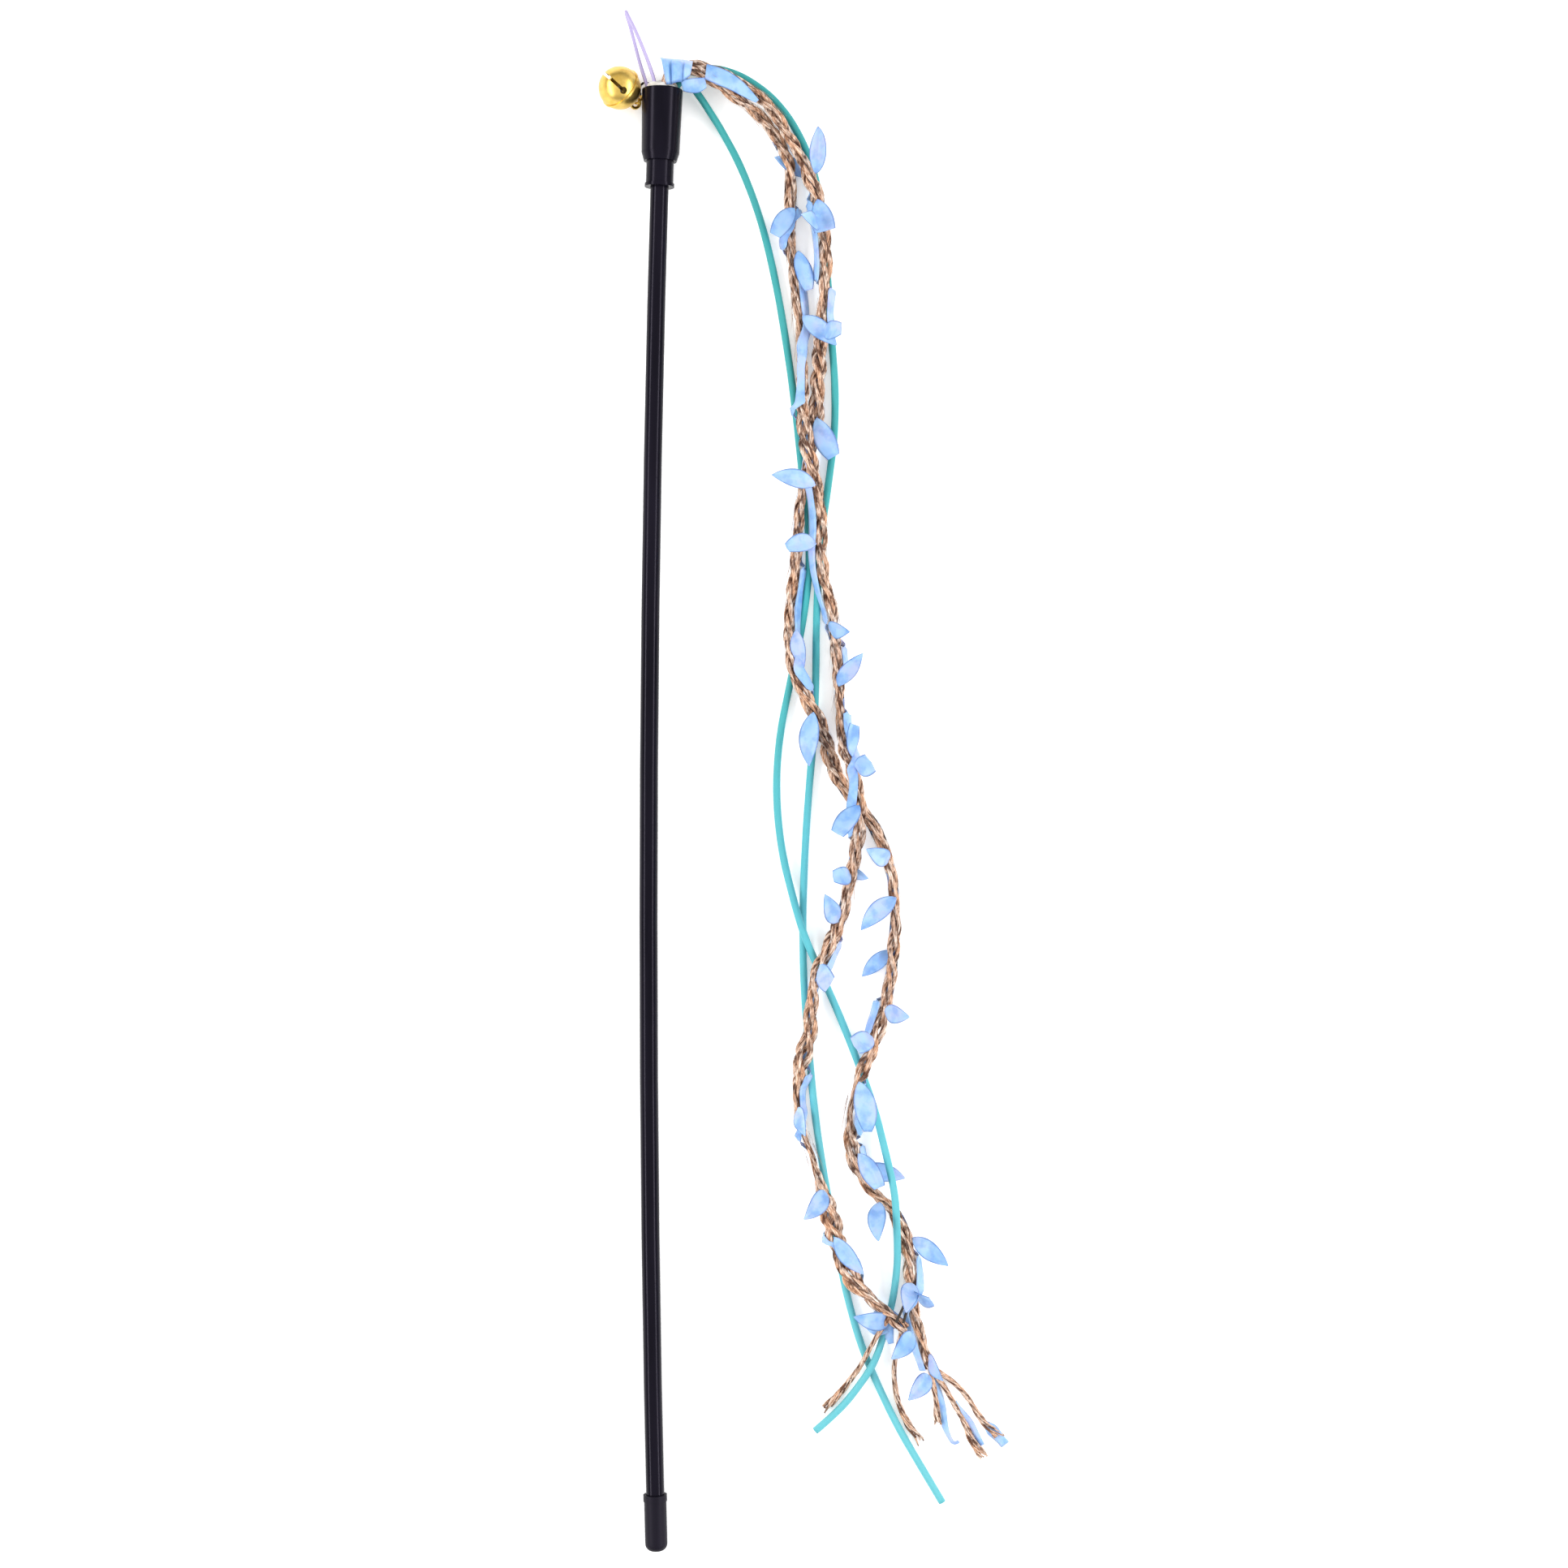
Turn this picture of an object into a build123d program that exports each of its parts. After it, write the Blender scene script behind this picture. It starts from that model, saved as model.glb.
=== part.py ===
from build123d import *
import math
import os

# Cat teaser wand lying on a floor, in millimetres.
# +X is to the right, +Y points from the butt to the tip, +Z is up and the floor is Z = 0.

# Wand
wand_length = 400.0
rod_diameter = 5.0
rod_bow = 2.7
rod_clearance = 0.05

# End cap
cap_length = 15.5
cap_diameter = 6.1
cap_lip_diameter = 6.5
cap_lip_length = 1.8
cap_end_thickness = 2.5
cap_end_rounding = 2.0

# Head cup and its neck
cup_length = 19.6
cup_mouth_diameter = 11.2
cup_base_diameter = 10.4
cup_wall = 0.8
cup_floor = 4.0
cup_base_chamfer_length = 2.4
cup_base_chamfer_width = 0.7
cup_rim_rounding = 0.3
neck_diameter = 7.5
neck_length = 7.0
neck_spigot_diameter = 6.6
neck_lip_diameter = 8.1
neck_lip_length = 0.9
plug_depth = 4.6
plug_clearance = 0.05

# Strands
rope_diameter = 3.2
ribbon_diameter = 1.4
string_diameter = 2.0
tail_diameter = 1.2
loop_diameter = 1.1
tether_diameter = 0.7
touch_gap = 0.05
corner_share = 0.45

# Leaves and the scrap of satin at the mouth
leaf_length = 13.0
leaf_width = 5.2
satin_thickness = 0.4
wrap_height = 10.2

# Bell
bell_diameter = 11.6
bell_wall = 0.45
bell_centre = Vector(-11.2, 200.3, 6.2)
bell_axis = Vector(-0.6, 0.45, 0.66).normalized()
bell_slit_direction = Vector(0.44, -0.503, 0.744)
bell_slit_width = 0.9
bell_slit_angle = 72.0
bell_slit_hole_diameter = 1.9
bell_bead_height = 0.6
bell_bead_width = 0.25
bell_solder_depth = 0.2
pellet_diameter = 3.0
pellet_clearance = 0.15
shank_wire = 0.9
shank_hole = 1.8
shank_stand_off = 1.0
ring_wire = 0.7
ring_hole = 1.7

# Routes of the strands: roots run from the plug to the junction, where the free stretch starts
vine_left_root_route = [
    (1.3, 195.6, 8.4), (1.4, 200.4, 8.4), (3.6, 204.5, 8.4), (8.5, 205.4, 8.1), (12.5, 203.0, 7.3),
]
vine_left_route = [
    (12.5, 203.0, 7.3), (16.5, 200.6, 6.5), (21.0, 198.0, 5.0), (25.5, 195.0, 3.2), (29.5, 191.0, 1.9),
    (32.0, 186.0, 1.6), (34.0, 180.0, 1.6), (35.0, 171.0, 1.6), (35.5, 159.0, 1.6), (37.0, 145.5, 1.6),
    (38.5, 133.0, 1.6), (39.0, 122.5, 2.0), (39.0, 113.0, 5.0), (39.5, 105.0, 9.2), (41.5, 97.5, 9.2),
    (43.5, 90.0, 6.0), (44.5, 81.5, 4.0), (44.0, 73.0, 4.0), (45.5, 64.5, 3.2), (48.0, 56.0, 1.6),
    (48.5, 46.5, 1.6), (49.5, 36.5, 1.6), (49.5, 28.0, 2.4), (50.5, 20.5, 5.0), (53.0, 14.0, 7.4),
    (55.0, 6.5, 7.8), (55.2, -0.5, 5.8), (54.2, -7.5, 2.6), (52.5, -16.0, 1.6), (51.0, -24.0, 1.6),
    (48.5, -30.5, 2.2), (45.5, -36.5, 4.6), (43.0, -42.5, 5.2), (42.0, -50.5, 4.6), (41.5, -58.5, 4.2),
    (39.5, -65.5, 4.2), (38.0, -72.0, 2.6), (38.0, -78.5, 1.8), (40.0, -85.5, 2.2), (42.5, -92.0, 3.6),
    (44.5, -99.0, 4.0), (47.0, -106.5, 4.0), (49.0, -114.5, 4.0), (51.5, -121.5, 4.0), (55.0, -127.5, 4.2),
    (60.0, -132.0, 4.6), (64.5, -135.5, 4.6), (68.0, -139.0, 4.0),
]
vine_right_root_route = [
    (0.9, 195.6, 4.9), (0.9, 201.0, 4.9), (3.2, 205.4, 5.0), (8.5, 207.0, 5.0), (12.5, 206.0, 4.8),
]
vine_right_route = [
    (12.5, 206.0, 4.8), (16.5, 205.0, 4.6), (20.5, 203.0, 4.5), (25.0, 200.0, 4.4), (29.0, 196.5, 4.3),
    (32.5, 192.0, 4.2), (35.0, 187.5, 4.1), (38.0, 182.5, 4.0), (40.5, 177.5, 4.0), (43.0, 171.0, 4.0),
    (44.5, 163.0, 4.0), (45.5, 153.5, 4.0), (44.5, 144.5, 4.0), (44.0, 136.0, 3.8), (43.5, 128.0, 2.4),
    (43.5, 120.0, 2.0), (42.5, 111.5, 3.2), (41.5, 103.5, 3.9), (40.3, 96.0, 3.9), (38.5, 88.5, 3.9),
    (38.0, 80.0, 3.9), (37.5, 71.5, 2.6), (36.0, 62.0, 1.8), (35.5, 51.5, 2.4), (36.5, 41.5, 4.0),
    (39.5, 35.0, 4.2), (43.0, 29.5, 4.1), (45.5, 23.5, 3.2), (47.0, 16.5, 1.9), (50.0, 10.5, 1.6),
    (54.0, 5.0, 1.6), (58.5, 0.0, 1.6), (61.5, -6.5, 1.6), (64.0, -14.0, 1.6), (65.0, -23.0, 1.6),
    (65.0, -32.0, 1.6), (64.0, -42.0, 1.6), (62.0, -52.0, 1.6), (59.5, -60.5, 2.8), (56.5, -67.0, 4.2),
    (54.0, -73.0, 3.6), (52.5, -81.0, 1.8), (53.0, -89.0, 1.6), (55.0, -96.5, 1.6), (59.0, -102.0, 1.6),
    (64.0, -105.5, 1.6), (67.5, -111.5, 1.6), (69.0, -118.5, 1.6), (69.5, -126.5, 1.6), (70.5, -134.5, 1.6),
    (72.5, -142.5, 1.6), (75.0, -150.0, 1.6),
]
string_left_root_route = [
    (3.7, 195.6, 4.0), (3.7, 199.6, 4.0), (4.3, 201.7, 3.9), (5.7, 202.9, 3.8), (7.2, 202.8, 3.7),
    (8.5, 201.5, 3.5), (10.0, 199.5, 3.1),
]
string_left_route = [
    (10.0, 199.5, 3.1), (11.5, 197.5, 2.7), (13.5, 194.5, 2.0), (16.5, 190.0, 1.3), (22.0, 180.0, 1.0),
    (27.5, 165.5, 1.0), (31.5, 149.0, 1.0), (34.5, 132.0, 1.0), (37.0, 114.5, 1.0), (39.0, 95.5, 1.0),
    (41.0, 78.5, 1.0), (41.0, 66.5, 1.0), (39.0, 52.5, 1.0), (36.0, 38.5, 1.0), (33.0, 24.0, 1.0),
    (32.0, 8.5, 1.0), (33.5, -7.5, 1.1), (37.0, -21.5, 2.8), (40.0, -31.5, 3.5), (44.5, -41.5, 1.7),
    (49.5, -52.5, 1.0), (54.5, -65.0, 1.0), (59.5, -78.5, 1.0), (62.5, -90.5, 3.6), (65.0, -101.0, 7.0),
    (65.5, -110.0, 7.0), (66.0, -120.0, 2.8), (65.0, -130.5, 1.0), (62.5, -140.0, 1.7), (60.0, -147.5, 3.6),
    (56.0, -154.0, 3.0), (50.0, -162.0, 1.2), (43.5, -167.5, 1.0),
]
string_right_root_route = [
    (0.9, 195.6, 2.0), (0.9, 200.8, 2.0), (3.2, 205.0, 1.9), (8.5, 207.2, 1.6), (12.5, 207.0, 1.4),
]
string_right_route = [
    (12.5, 207.0, 1.4), (16.5, 206.8, 1.2), (23.0, 204.5, 1.0), (29.5, 200.0, 1.0), (34.0, 195.0, 1.0),
    (37.5, 189.5, 1.0), (41.0, 182.0, 1.0), (43.5, 172.5, 1.0), (45.0, 160.0, 1.0), (46.0, 148.0, 1.0),
    (46.8, 134.5, 1.0), (48.0, 121.0, 1.0), (48.0, 107.5, 1.0), (46.5, 94.5, 1.0), (44.5, 81.0, 1.0),
    (43.5, 67.5, 1.0), (43.0, 53.0, 1.0), (43.0, 39.5, 1.0), (42.5, 24.0, 1.0), (41.0, 7.0, 1.0),
    (40.0, -10.5, 1.0), (39.5, -28.5, 1.0), (40.0, -46.5, 1.0), (41.5, -64.0, 1.0), (43.0, -80.0, 1.0),
    (45.0, -93.0, 1.0), (47.5, -107.5, 1.0), (50.0, -120.5, 1.0), (52.5, -132.0, 1.0), (56.0, -144.0, 1.0),
    (60.5, -154.5, 1.0), (66.0, -166.0, 1.0), (72.5, -177.0, 1.0), (78.5, -187.0, 1.0),
]
vine_left_tail_routes = [
    [
        (63.5, -135.5, 4.6), (61.0, -139.5, 4.4), (58.5, -144.0, 3.8), (56.0, -149.0, 3.0), (52.5, -154.0, 1.4),
        (49.0, -158.5, 0.7), (45.0, -162.5, 0.7),
    ],
    [
        (67.5, -138.5, 3.8), (66.0, -144.0, 2.2), (65.0, -150.5, 0.8), (65.5, -157.5, 0.7), (67.5, -163.0, 0.7),
        (70.0, -167.0, 0.7), (73.0, -170.0, 0.7),
    ],
]
vine_right_tail_routes = [
    [(75.0, -149.5, 1.5), (76.0, -155.0, 0.9), (77.0, -161.0, 0.7), (77.5, -166.5, 0.7)],
    [
        (75.0, -149.5, 1.5), (78.5, -154.5, 0.9), (82.0, -160.5, 0.7), (85.0, -166.0, 0.7), (87.0, -171.5, 0.7),
        (91.0, -175.5, 0.7),
    ],
    [
        (75.0, -149.5, 1.5), (80.5, -153.0, 0.9), (85.5, -158.0, 0.7), (88.5, -163.5, 0.7), (92.0, -167.5, 0.7),
        (95.5, -170.0, 0.7),
    ],
]
line_loop_route = [
    (-1.0, 195.6, 8.1), (-1.2, 200.4, 8.2), (-3.0, 206.0, 8.9), (-5.0, 211.0, 9.6), (-6.9, 215.3, 10.1),
    (-8.5, 218.3, 10.3), (-9.4, 220.3, 10.0), (-9.5, 220.4, 7.8), (-8.6, 217.6, 7.5), (-7.3, 213.0, 7.3),
    (-5.8, 207.0, 7.2), (-3.7, 200.7, 7.1), (-2.4, 195.6, 7.1),
]
tether_route = [
    (-2.2, 195.6, 3.6), (-2.3, 199.8, 3.6), (-3.0, 202.0, 3.4), (-4.5, 202.8, 3.0), (-5.8, 201.9, 2.5),
    (-6.0, 200.5, 2.1), (-5.7, 199.2, 1.7),
]

# Leaves of each vine: X and Y of the base, height of the rope there, heading and upward tilt in degrees
vine_left_leaf_places = [
    (34.1, 178.6, 1.6, 130, 65), (35.1, 167.6, 1.6, -115, 40), (35.9, 155.9, 1.6, -65, 5),
    (37.9, 137.5, 1.6, -35, 45), (43.3, 91.3, 6.6, 160, 20), (44.3, 78.1, 4.0, -160, 35),
    (47.9, 54.4, 1.6, -40, 70), (49.3, 37.2, 1.6, 55, 40), (51.8, 17.2, 6.3, 85, 10),
    (53.0, 13.6, 7.4, 30, 60), (55.1, 2.9, 6.8, -130, 40), (52.4, -17.2, 1.6, 150, 65),
    (53.1, -13.1, 1.7, -25, 70), (49.4, -28.2, 2.0, 120, 45), (44.3, -39.2, 4.9, -60, 55),
    (38.0, -77.1, 2.0, -85, 55), (46.1, -103.4, 4.0, 170, 60), (49.1, -114.6, 4.0, -45, 35),
    (64.4, -135.4, 4.6, -175, 40), (68.0, -139.0, 4.0, -115, 55),
]
vine_right_leaf_places = [
    (40.8, 177.0, 4.0, 80, 25), (43.6, 167.7, 4.0, -60, 45), (43.9, 166.6, 4.0, -155, 65),
    (43.9, 136.2, 3.8, -15, 60), (42.2, 110.1, 3.3, -55, 35), (35.5, 53.9, 2.3, -70, 5),
    (43.9, 27.6, 3.8, -100, 15), (62.8, -10.4, 1.6, 155, 55), (64.8, -21.5, 1.6, -140, 30),
    (64.5, -37.6, 1.6, -155, 45), (62.2, -52.0, 1.6, 5, 65), (60.2, -58.2, 2.5, -160, 55),
    (54.6, -71.5, 3.8, -80, 5), (53.3, -90.1, 1.6, -50, 30), (61.6, -103.9, 1.6, 45, 0),
    (61.6, -103.9, 1.6, -95, 45), (68.1, -114.5, 1.6, -25, 5), (69.5, -126.3, 1.6, -95, 60),
    (70.3, -131.7, 1.6, 5, 65), (73.9, -146.6, 1.6, -40, 65), (75.0, -149.9, 1.6, -135, 55),
]
wrap_outline = [(1.0, 207.3), (11.3, 205.9), (11.3, 198.8), (7.0, 197.6), (5.6, 200.8), (1.6, 201.1)]

# Sizes that follow from the ones above
rod_radius = rod_diameter / 2
socket_radius = rod_radius + rod_clearance
cup_depth = cup_length - cup_floor
rod_butt_y = -wand_length / 2 + cap_end_thickness
rod_head_y = wand_length / 2 - cup_depth
lip_y = -wand_length / 2 + cap_length
axis_slope = (cup_mouth_diameter - cap_lip_diameter) / 2 / (wand_length - cap_length)
bell_radius = bell_diameter / 2
bell_inner_radius = bell_radius - bell_wall
shank_axis = (Vector(0, 0, 1) - bell_axis * bell_axis.Z).normalized()
shank_centre = bell_centre - bell_axis * (bell_radius + shank_stand_off)
shank_ring_radius = (shank_hole + shank_wire) / 2
ring_radius = (ring_hole + ring_wire) / 2
ring_centre = shank_centre + bell_axis.cross(shank_axis) * ring_radius
pellet_centre = bell_centre - Vector(0, 0, bell_inner_radius - pellet_diameter / 2 - pellet_clearance)
bell_plane = Plane(origin=bell_centre, x_dir=bell_slit_direction, z_dir=bell_axis)


def axis_height(y):
    """Height of the wand's axis, so that the cap's lip and the cup's mouth both touch the floor."""
    return cap_lip_diameter / 2 + axis_slope * (y - lip_y)


rod_middle_y = (rod_butt_y + rod_head_y) / 2
rod_axis = ThreePointArc(
    (0, rod_butt_y, axis_height(rod_butt_y)),
    (-rod_bow, rod_middle_y, axis_height(rod_middle_y)),
    (0, rod_head_y, axis_height(rod_head_y)),
)
butt_plane = Plane(origin=rod_axis @ 0, x_dir=(0, 0, 1), z_dir=-(rod_axis % 0))
head_plane = Plane(origin=rod_axis @ 1, x_dir=(0, 0, 1), z_dir=rod_axis % 1)


def section_of(plane):
    """Plane through a turned piece's axis: its X is the radius and its Y runs along the axis."""
    return Plane(origin=plane.origin, x_dir=plane.x_dir, z_dir=plane.x_dir.cross(plane.z_dir))


def finish(piece, name):
    """Label a finished piece and write its file."""
    piece.part.label = name
    export_step(piece.part, f"parts/{name}.step")


def corner_radii(points):
    """One radius for each corner of a route, as large as the two runs beside it allow."""
    radii = []
    for before, corner, after in zip(points, points[1:], points[2:]):
        run_in = Vector(corner) - Vector(before)
        run_out = Vector(after) - Vector(corner)
        half_turn = math.radians(run_in.get_angle(run_out) / 2)
        radii.append(corner_share * min(run_in.length, run_out.length) / math.tan(half_turn))
    return radii


def make_cords(name, routes, diameter):
    """Tubes of one diameter along straight runs joined by tangent arcs."""
    length = 0
    smallest_radius = wand_length
    with BuildPart() as cords:
        for points in routes:
            radii = corner_radii(points)
            with BuildLine():
                route = FilletPolyline(*points, radius=radii)
            with BuildSketch(Plane(origin=route @ 0, z_dir=route % 0)):
                Circle(diameter / 2)
            sweep()
            length += route.length
            smallest_radius = min(smallest_radius, *radii)
    finish(cords, name)
    share = cords.part.volume / (length * math.pi * diameter**2 / 4)
    print(f"{name}: length {length:.1f}, smallest radius {smallest_radius:.1f}, volume share {share:.4f}")


def make_leaves(name, places):
    """Flat pointed leaves that start on top of a rope."""
    with BuildPart() as leaves:
        for x, y, rope_height, heading, tilt in places:
            base = Vector(x, y, rope_height + rope_diameter / 2 + ribbon_diameter / 2)
            along = Vector(1, 0, 0).rotate(Axis.Y, -tilt).rotate(Axis.Z, heading)
            across = Vector(0, 1, 0).rotate(Axis.Z, heading)
            with BuildSketch(Plane(origin=base, x_dir=along, z_dir=along.cross(across))):
                with BuildLine():
                    ThreePointArc((0, 0), (leaf_length / 2, leaf_width / 2), (leaf_length, 0))
                    ThreePointArc((leaf_length, 0), (leaf_length / 2, -leaf_width / 2), (0, 0))
                make_face()
            extrude(amount=satin_thickness)
    finish(leaves, name)


def raised(points, rise):
    """The same route, higher."""
    return [(x, y, z + rise) for x, y, z in points]


os.makedirs("parts", exist_ok=True)

# Rod
with BuildPart() as rod:
    with BuildLine():
        add(rod_axis)
    with BuildSketch(head_plane):
        Circle(rod_radius)
    sweep()
finish(rod, "rod")

# End cap: blind rubber cap with a lip at its open end
cap_open_end = cap_end_thickness - cap_length
with BuildPart() as end_cap:
    with BuildSketch(section_of(butt_plane)):
        with BuildLine():
            Polyline(
                (0, 0),
                (socket_radius, 0),
                (socket_radius, cap_open_end),
                (cap_lip_diameter / 2, cap_open_end),
                (cap_lip_diameter / 2, cap_open_end + cap_lip_length),
                (cap_diameter / 2, cap_open_end + cap_lip_length),
                (cap_diameter / 2, cap_end_thickness - cap_end_rounding),
            )
            RadiusArc(
                (cap_diameter / 2, cap_end_thickness - cap_end_rounding),
                (cap_diameter / 2 - cap_end_rounding, cap_end_thickness),
                -cap_end_rounding,
            )
            Polyline((cap_diameter / 2 - cap_end_rounding, cap_end_thickness), (0, cap_end_thickness), (0, 0))
        make_face()
    revolve(axis=Axis(butt_plane.origin, butt_plane.z_dir))
finish(end_cap, "end_cap")

# Neck ferrule: sleeve round the rod, with a spigot that fits the floor of the cup
neck_bottom = -cup_floor - neck_length
with BuildPart() as neck_ferrule:
    with BuildSketch(section_of(head_plane)):
        with BuildLine():
            Polyline(
                (socket_radius, 0),
                (neck_spigot_diameter / 2, 0),
                (neck_spigot_diameter / 2, -cup_floor),
                (neck_diameter / 2, -cup_floor),
                (neck_diameter / 2, neck_bottom + neck_lip_length),
                (neck_lip_diameter / 2, neck_bottom + neck_lip_length),
                (neck_lip_diameter / 2, neck_bottom),
                (socket_radius, neck_bottom),
                close=True,
            )
        make_face()
    revolve(axis=Axis(head_plane.origin, head_plane.z_dir))
finish(neck_ferrule, "neck_ferrule")

# Head cup: tapered cup with a bored floor
cup_shoulder = -cup_floor + cup_base_chamfer_length
with BuildPart() as head_cup:
    with BuildSketch(section_of(head_plane)):
        with BuildLine():
            Polyline(
                (neck_spigot_diameter / 2 + rod_clearance, 0),
                (cup_base_diameter / 2 - cup_wall, 0),
                (cup_mouth_diameter / 2 - cup_wall, cup_depth),
                (cup_mouth_diameter / 2, cup_depth),
                (cup_base_diameter / 2, cup_shoulder),
                (cup_base_diameter / 2 - cup_base_chamfer_width, -cup_floor),
                (neck_spigot_diameter / 2 + rod_clearance, -cup_floor),
                close=True,
            )
        make_face()
    revolve(axis=Axis(head_plane.origin, head_plane.z_dir))
    rim = head_cup.faces().sort_by(Axis(head_plane.origin, head_plane.z_dir))[-1]
    fillet(rim.edges(), cup_rim_rounding)
finish(head_cup, "head_cup")

# Glue plug: fills the cup from its floor to below its mouth
plug_length = cup_depth - plug_depth
bore_base_radius = cup_base_diameter / 2 - cup_wall - plug_clearance
bore_mouth_radius = cup_mouth_diameter / 2 - cup_wall - plug_clearance
plug_top_radius = bore_base_radius + (bore_mouth_radius - bore_base_radius) * plug_length / cup_depth
with BuildPart() as glue_plug:
    with BuildSketch(section_of(head_plane)):
        with BuildLine():
            Polyline((0, 0), (bore_base_radius, 0), (plug_top_radius, plug_length), (0, plug_length), close=True)
        make_face()
    revolve(axis=Axis(head_plane.origin, head_plane.z_dir))
finish(glue_plug, "glue_plug")

# Ropes, strings, ribbons, tails, nylon loop and the bell's thread
ribbon_rise = (rope_diameter + ribbon_diameter) / 2 + touch_gap
make_cords("vine_left_root", [vine_left_root_route], rope_diameter)
make_cords("vine_left_rope", [vine_left_route], rope_diameter)
make_cords("vine_left_ribbon", [raised(vine_left_route, ribbon_rise)], ribbon_diameter)
make_cords("vine_left_tails", vine_left_tail_routes, tail_diameter)
make_cords("vine_right_root", [vine_right_root_route], rope_diameter)
make_cords("vine_right_rope", [vine_right_route], rope_diameter)
make_cords("vine_right_ribbon", [raised(vine_right_route, ribbon_rise)], ribbon_diameter)
make_cords("vine_right_tails", vine_right_tail_routes, tail_diameter)
make_cords("string_left_root", [string_left_root_route], string_diameter)
make_cords("string_left", [string_left_route], string_diameter)
make_cords("string_right_root", [string_right_root_route], string_diameter)
make_cords("string_right", [string_right_route], string_diameter)
make_cords("line_loop", [line_loop_route], loop_diameter)
make_cords("bell_tether", [tether_route], tether_diameter)

# Satin leaves, and the scrap of satin that lies over the strands at the mouth
make_leaves("vine_left_leaves", vine_left_leaf_places)
make_leaves("vine_right_leaves", vine_right_leaf_places)
with BuildPart() as root_wrap:
    with BuildSketch(Plane.XY.offset(wrap_height)):
        with BuildLine():
            Polyline(*wrap_outline, close=True)
        make_face()
    extrude(amount=satin_thickness)
finish(root_wrap, "root_wrap")

# Bell: the half with the slit
with BuildPart() as bell_lower_shell:
    with Locations(bell_plane):
        Sphere(bell_radius, arc_size1=0, align=(Align.CENTER, Align.CENTER, Align.MIN))
        Sphere(bell_inner_radius, mode=Mode.SUBTRACT)
    slit_reach = bell_radius * math.sin(math.radians(bell_slit_angle))
    slit_floor = bell_radius * math.cos(math.radians(bell_slit_angle))
    with BuildSketch(bell_plane.offset(slit_floor)):
        Rectangle(2 * slit_reach, bell_slit_width)
    extrude(amount=bell_radius, mode=Mode.SUBTRACT)
    for side in (-1, 1):
        hole_direction = bell_axis.rotate(Axis((0, 0, 0), bell_plane.y_dir), side * bell_slit_angle)
        with BuildSketch(Plane(origin=bell_centre, z_dir=hole_direction)):
            Circle(bell_slit_hole_diameter / 2)
        extrude(amount=bell_diameter, mode=Mode.SUBTRACT)
finish(bell_lower_shell, "bell_lower_shell")

# Bell: the half with the eye, and the bead along its seam
with BuildPart() as bell_upper_shell:
    with Locations(bell_plane):
        Sphere(bell_radius, arc_size2=0, align=(Align.CENTER, Align.CENTER, Align.MAX))
        Cylinder(
            bell_radius + bell_bead_width,
            bell_bead_height,
            align=(Align.CENTER, Align.CENTER, Align.MAX),
        )
        Sphere(bell_inner_radius, mode=Mode.SUBTRACT)
finish(bell_upper_shell, "bell_upper_shell")

# Wire eye soldered to the bell
with BuildPart() as bell_shank:
    with Locations(Plane(origin=shank_centre, x_dir=bell_axis, z_dir=shank_axis)):
        Torus(shank_ring_radius, shank_wire / 2)
    with Locations(bell_plane):
        Sphere(bell_radius - bell_solder_depth, mode=Mode.SUBTRACT)
finish(bell_shank, "bell_shank")

# Small ring through the eye, tied to the thread
with BuildPart() as bell_ring:
    with Locations(Plane(origin=ring_centre, x_dir=shank_axis, z_dir=bell_axis)):
        Torus(ring_radius, ring_wire / 2)
finish(bell_ring, "bell_ring")

# Loose ball in the bell
with BuildPart() as bell_pellet:
    with Locations(pellet_centre):
        Sphere(pellet_diameter / 2)
finish(bell_pellet, "bell_pellet")
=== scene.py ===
import math
import random

import bmesh
import bpy
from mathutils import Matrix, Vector, noise


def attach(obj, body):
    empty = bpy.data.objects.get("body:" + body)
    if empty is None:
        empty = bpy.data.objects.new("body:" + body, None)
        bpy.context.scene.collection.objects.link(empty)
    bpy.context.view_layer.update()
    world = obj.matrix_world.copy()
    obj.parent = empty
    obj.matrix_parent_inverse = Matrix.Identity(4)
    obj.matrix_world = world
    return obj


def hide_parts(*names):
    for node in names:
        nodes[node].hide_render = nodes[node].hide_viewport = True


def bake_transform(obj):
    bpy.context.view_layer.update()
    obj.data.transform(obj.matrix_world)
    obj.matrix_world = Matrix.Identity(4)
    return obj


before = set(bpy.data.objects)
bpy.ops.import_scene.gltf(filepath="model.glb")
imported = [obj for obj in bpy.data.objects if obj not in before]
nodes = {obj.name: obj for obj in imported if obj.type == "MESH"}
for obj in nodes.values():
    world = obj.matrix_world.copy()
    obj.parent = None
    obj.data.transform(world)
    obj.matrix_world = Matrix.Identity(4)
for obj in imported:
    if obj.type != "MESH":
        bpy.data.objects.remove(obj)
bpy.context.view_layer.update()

# Cat teaser wand on a pale floor. Places and sizes are in millimetres, and become metres where they are used
MM = 0.001

# Camera straight above the middle of the picture, which is FRAME_WIDTH wide at FRAME_HEIGHT above the floor
CAMERA_PLACE = Vector((34.31, 10.34, 780.0))
CAMERA_ROLL = 0.00344
CAMERA_NEAR = 10.0
FRAME_WIDTH = 429.3
FRAME_HEIGHT = 4.3
SENSOR_WIDTH = 36.0

# Floor and light boxes, each box with its name, its place and the point that it faces
FLOOR_REACH = 3000.0
FLOOR_GLOW = 0.3
LIGHT_POWER = 10.0
LIGHT_SIZE = (1500.0, 200.0)
LIGHT_BOXES = [
    ("left_box", (-850, 0, 620), (0, 0, 0)),
    ("right_box", (950, 0, 620), (50, 0, 0)),
]

# Sky: sine of the height above the horizon, and brightness
SKY_STRENGTH = 1.0
SKY_LEVELS = [(0.15, 1.0), (0.2, 0.12), (0.32, 0.12), (0.55, 1.0)]

# Sway, looseness, slack, swell and wander are noise along a strand: amount, wavelength and first seed.
# Each seed takes its noise a stride away from the last.
SEED_STRIDE = (7.3, 3.1)

# Texture places run along a piece in centimetres
TEXTURE_UNIT = 10.0

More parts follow.
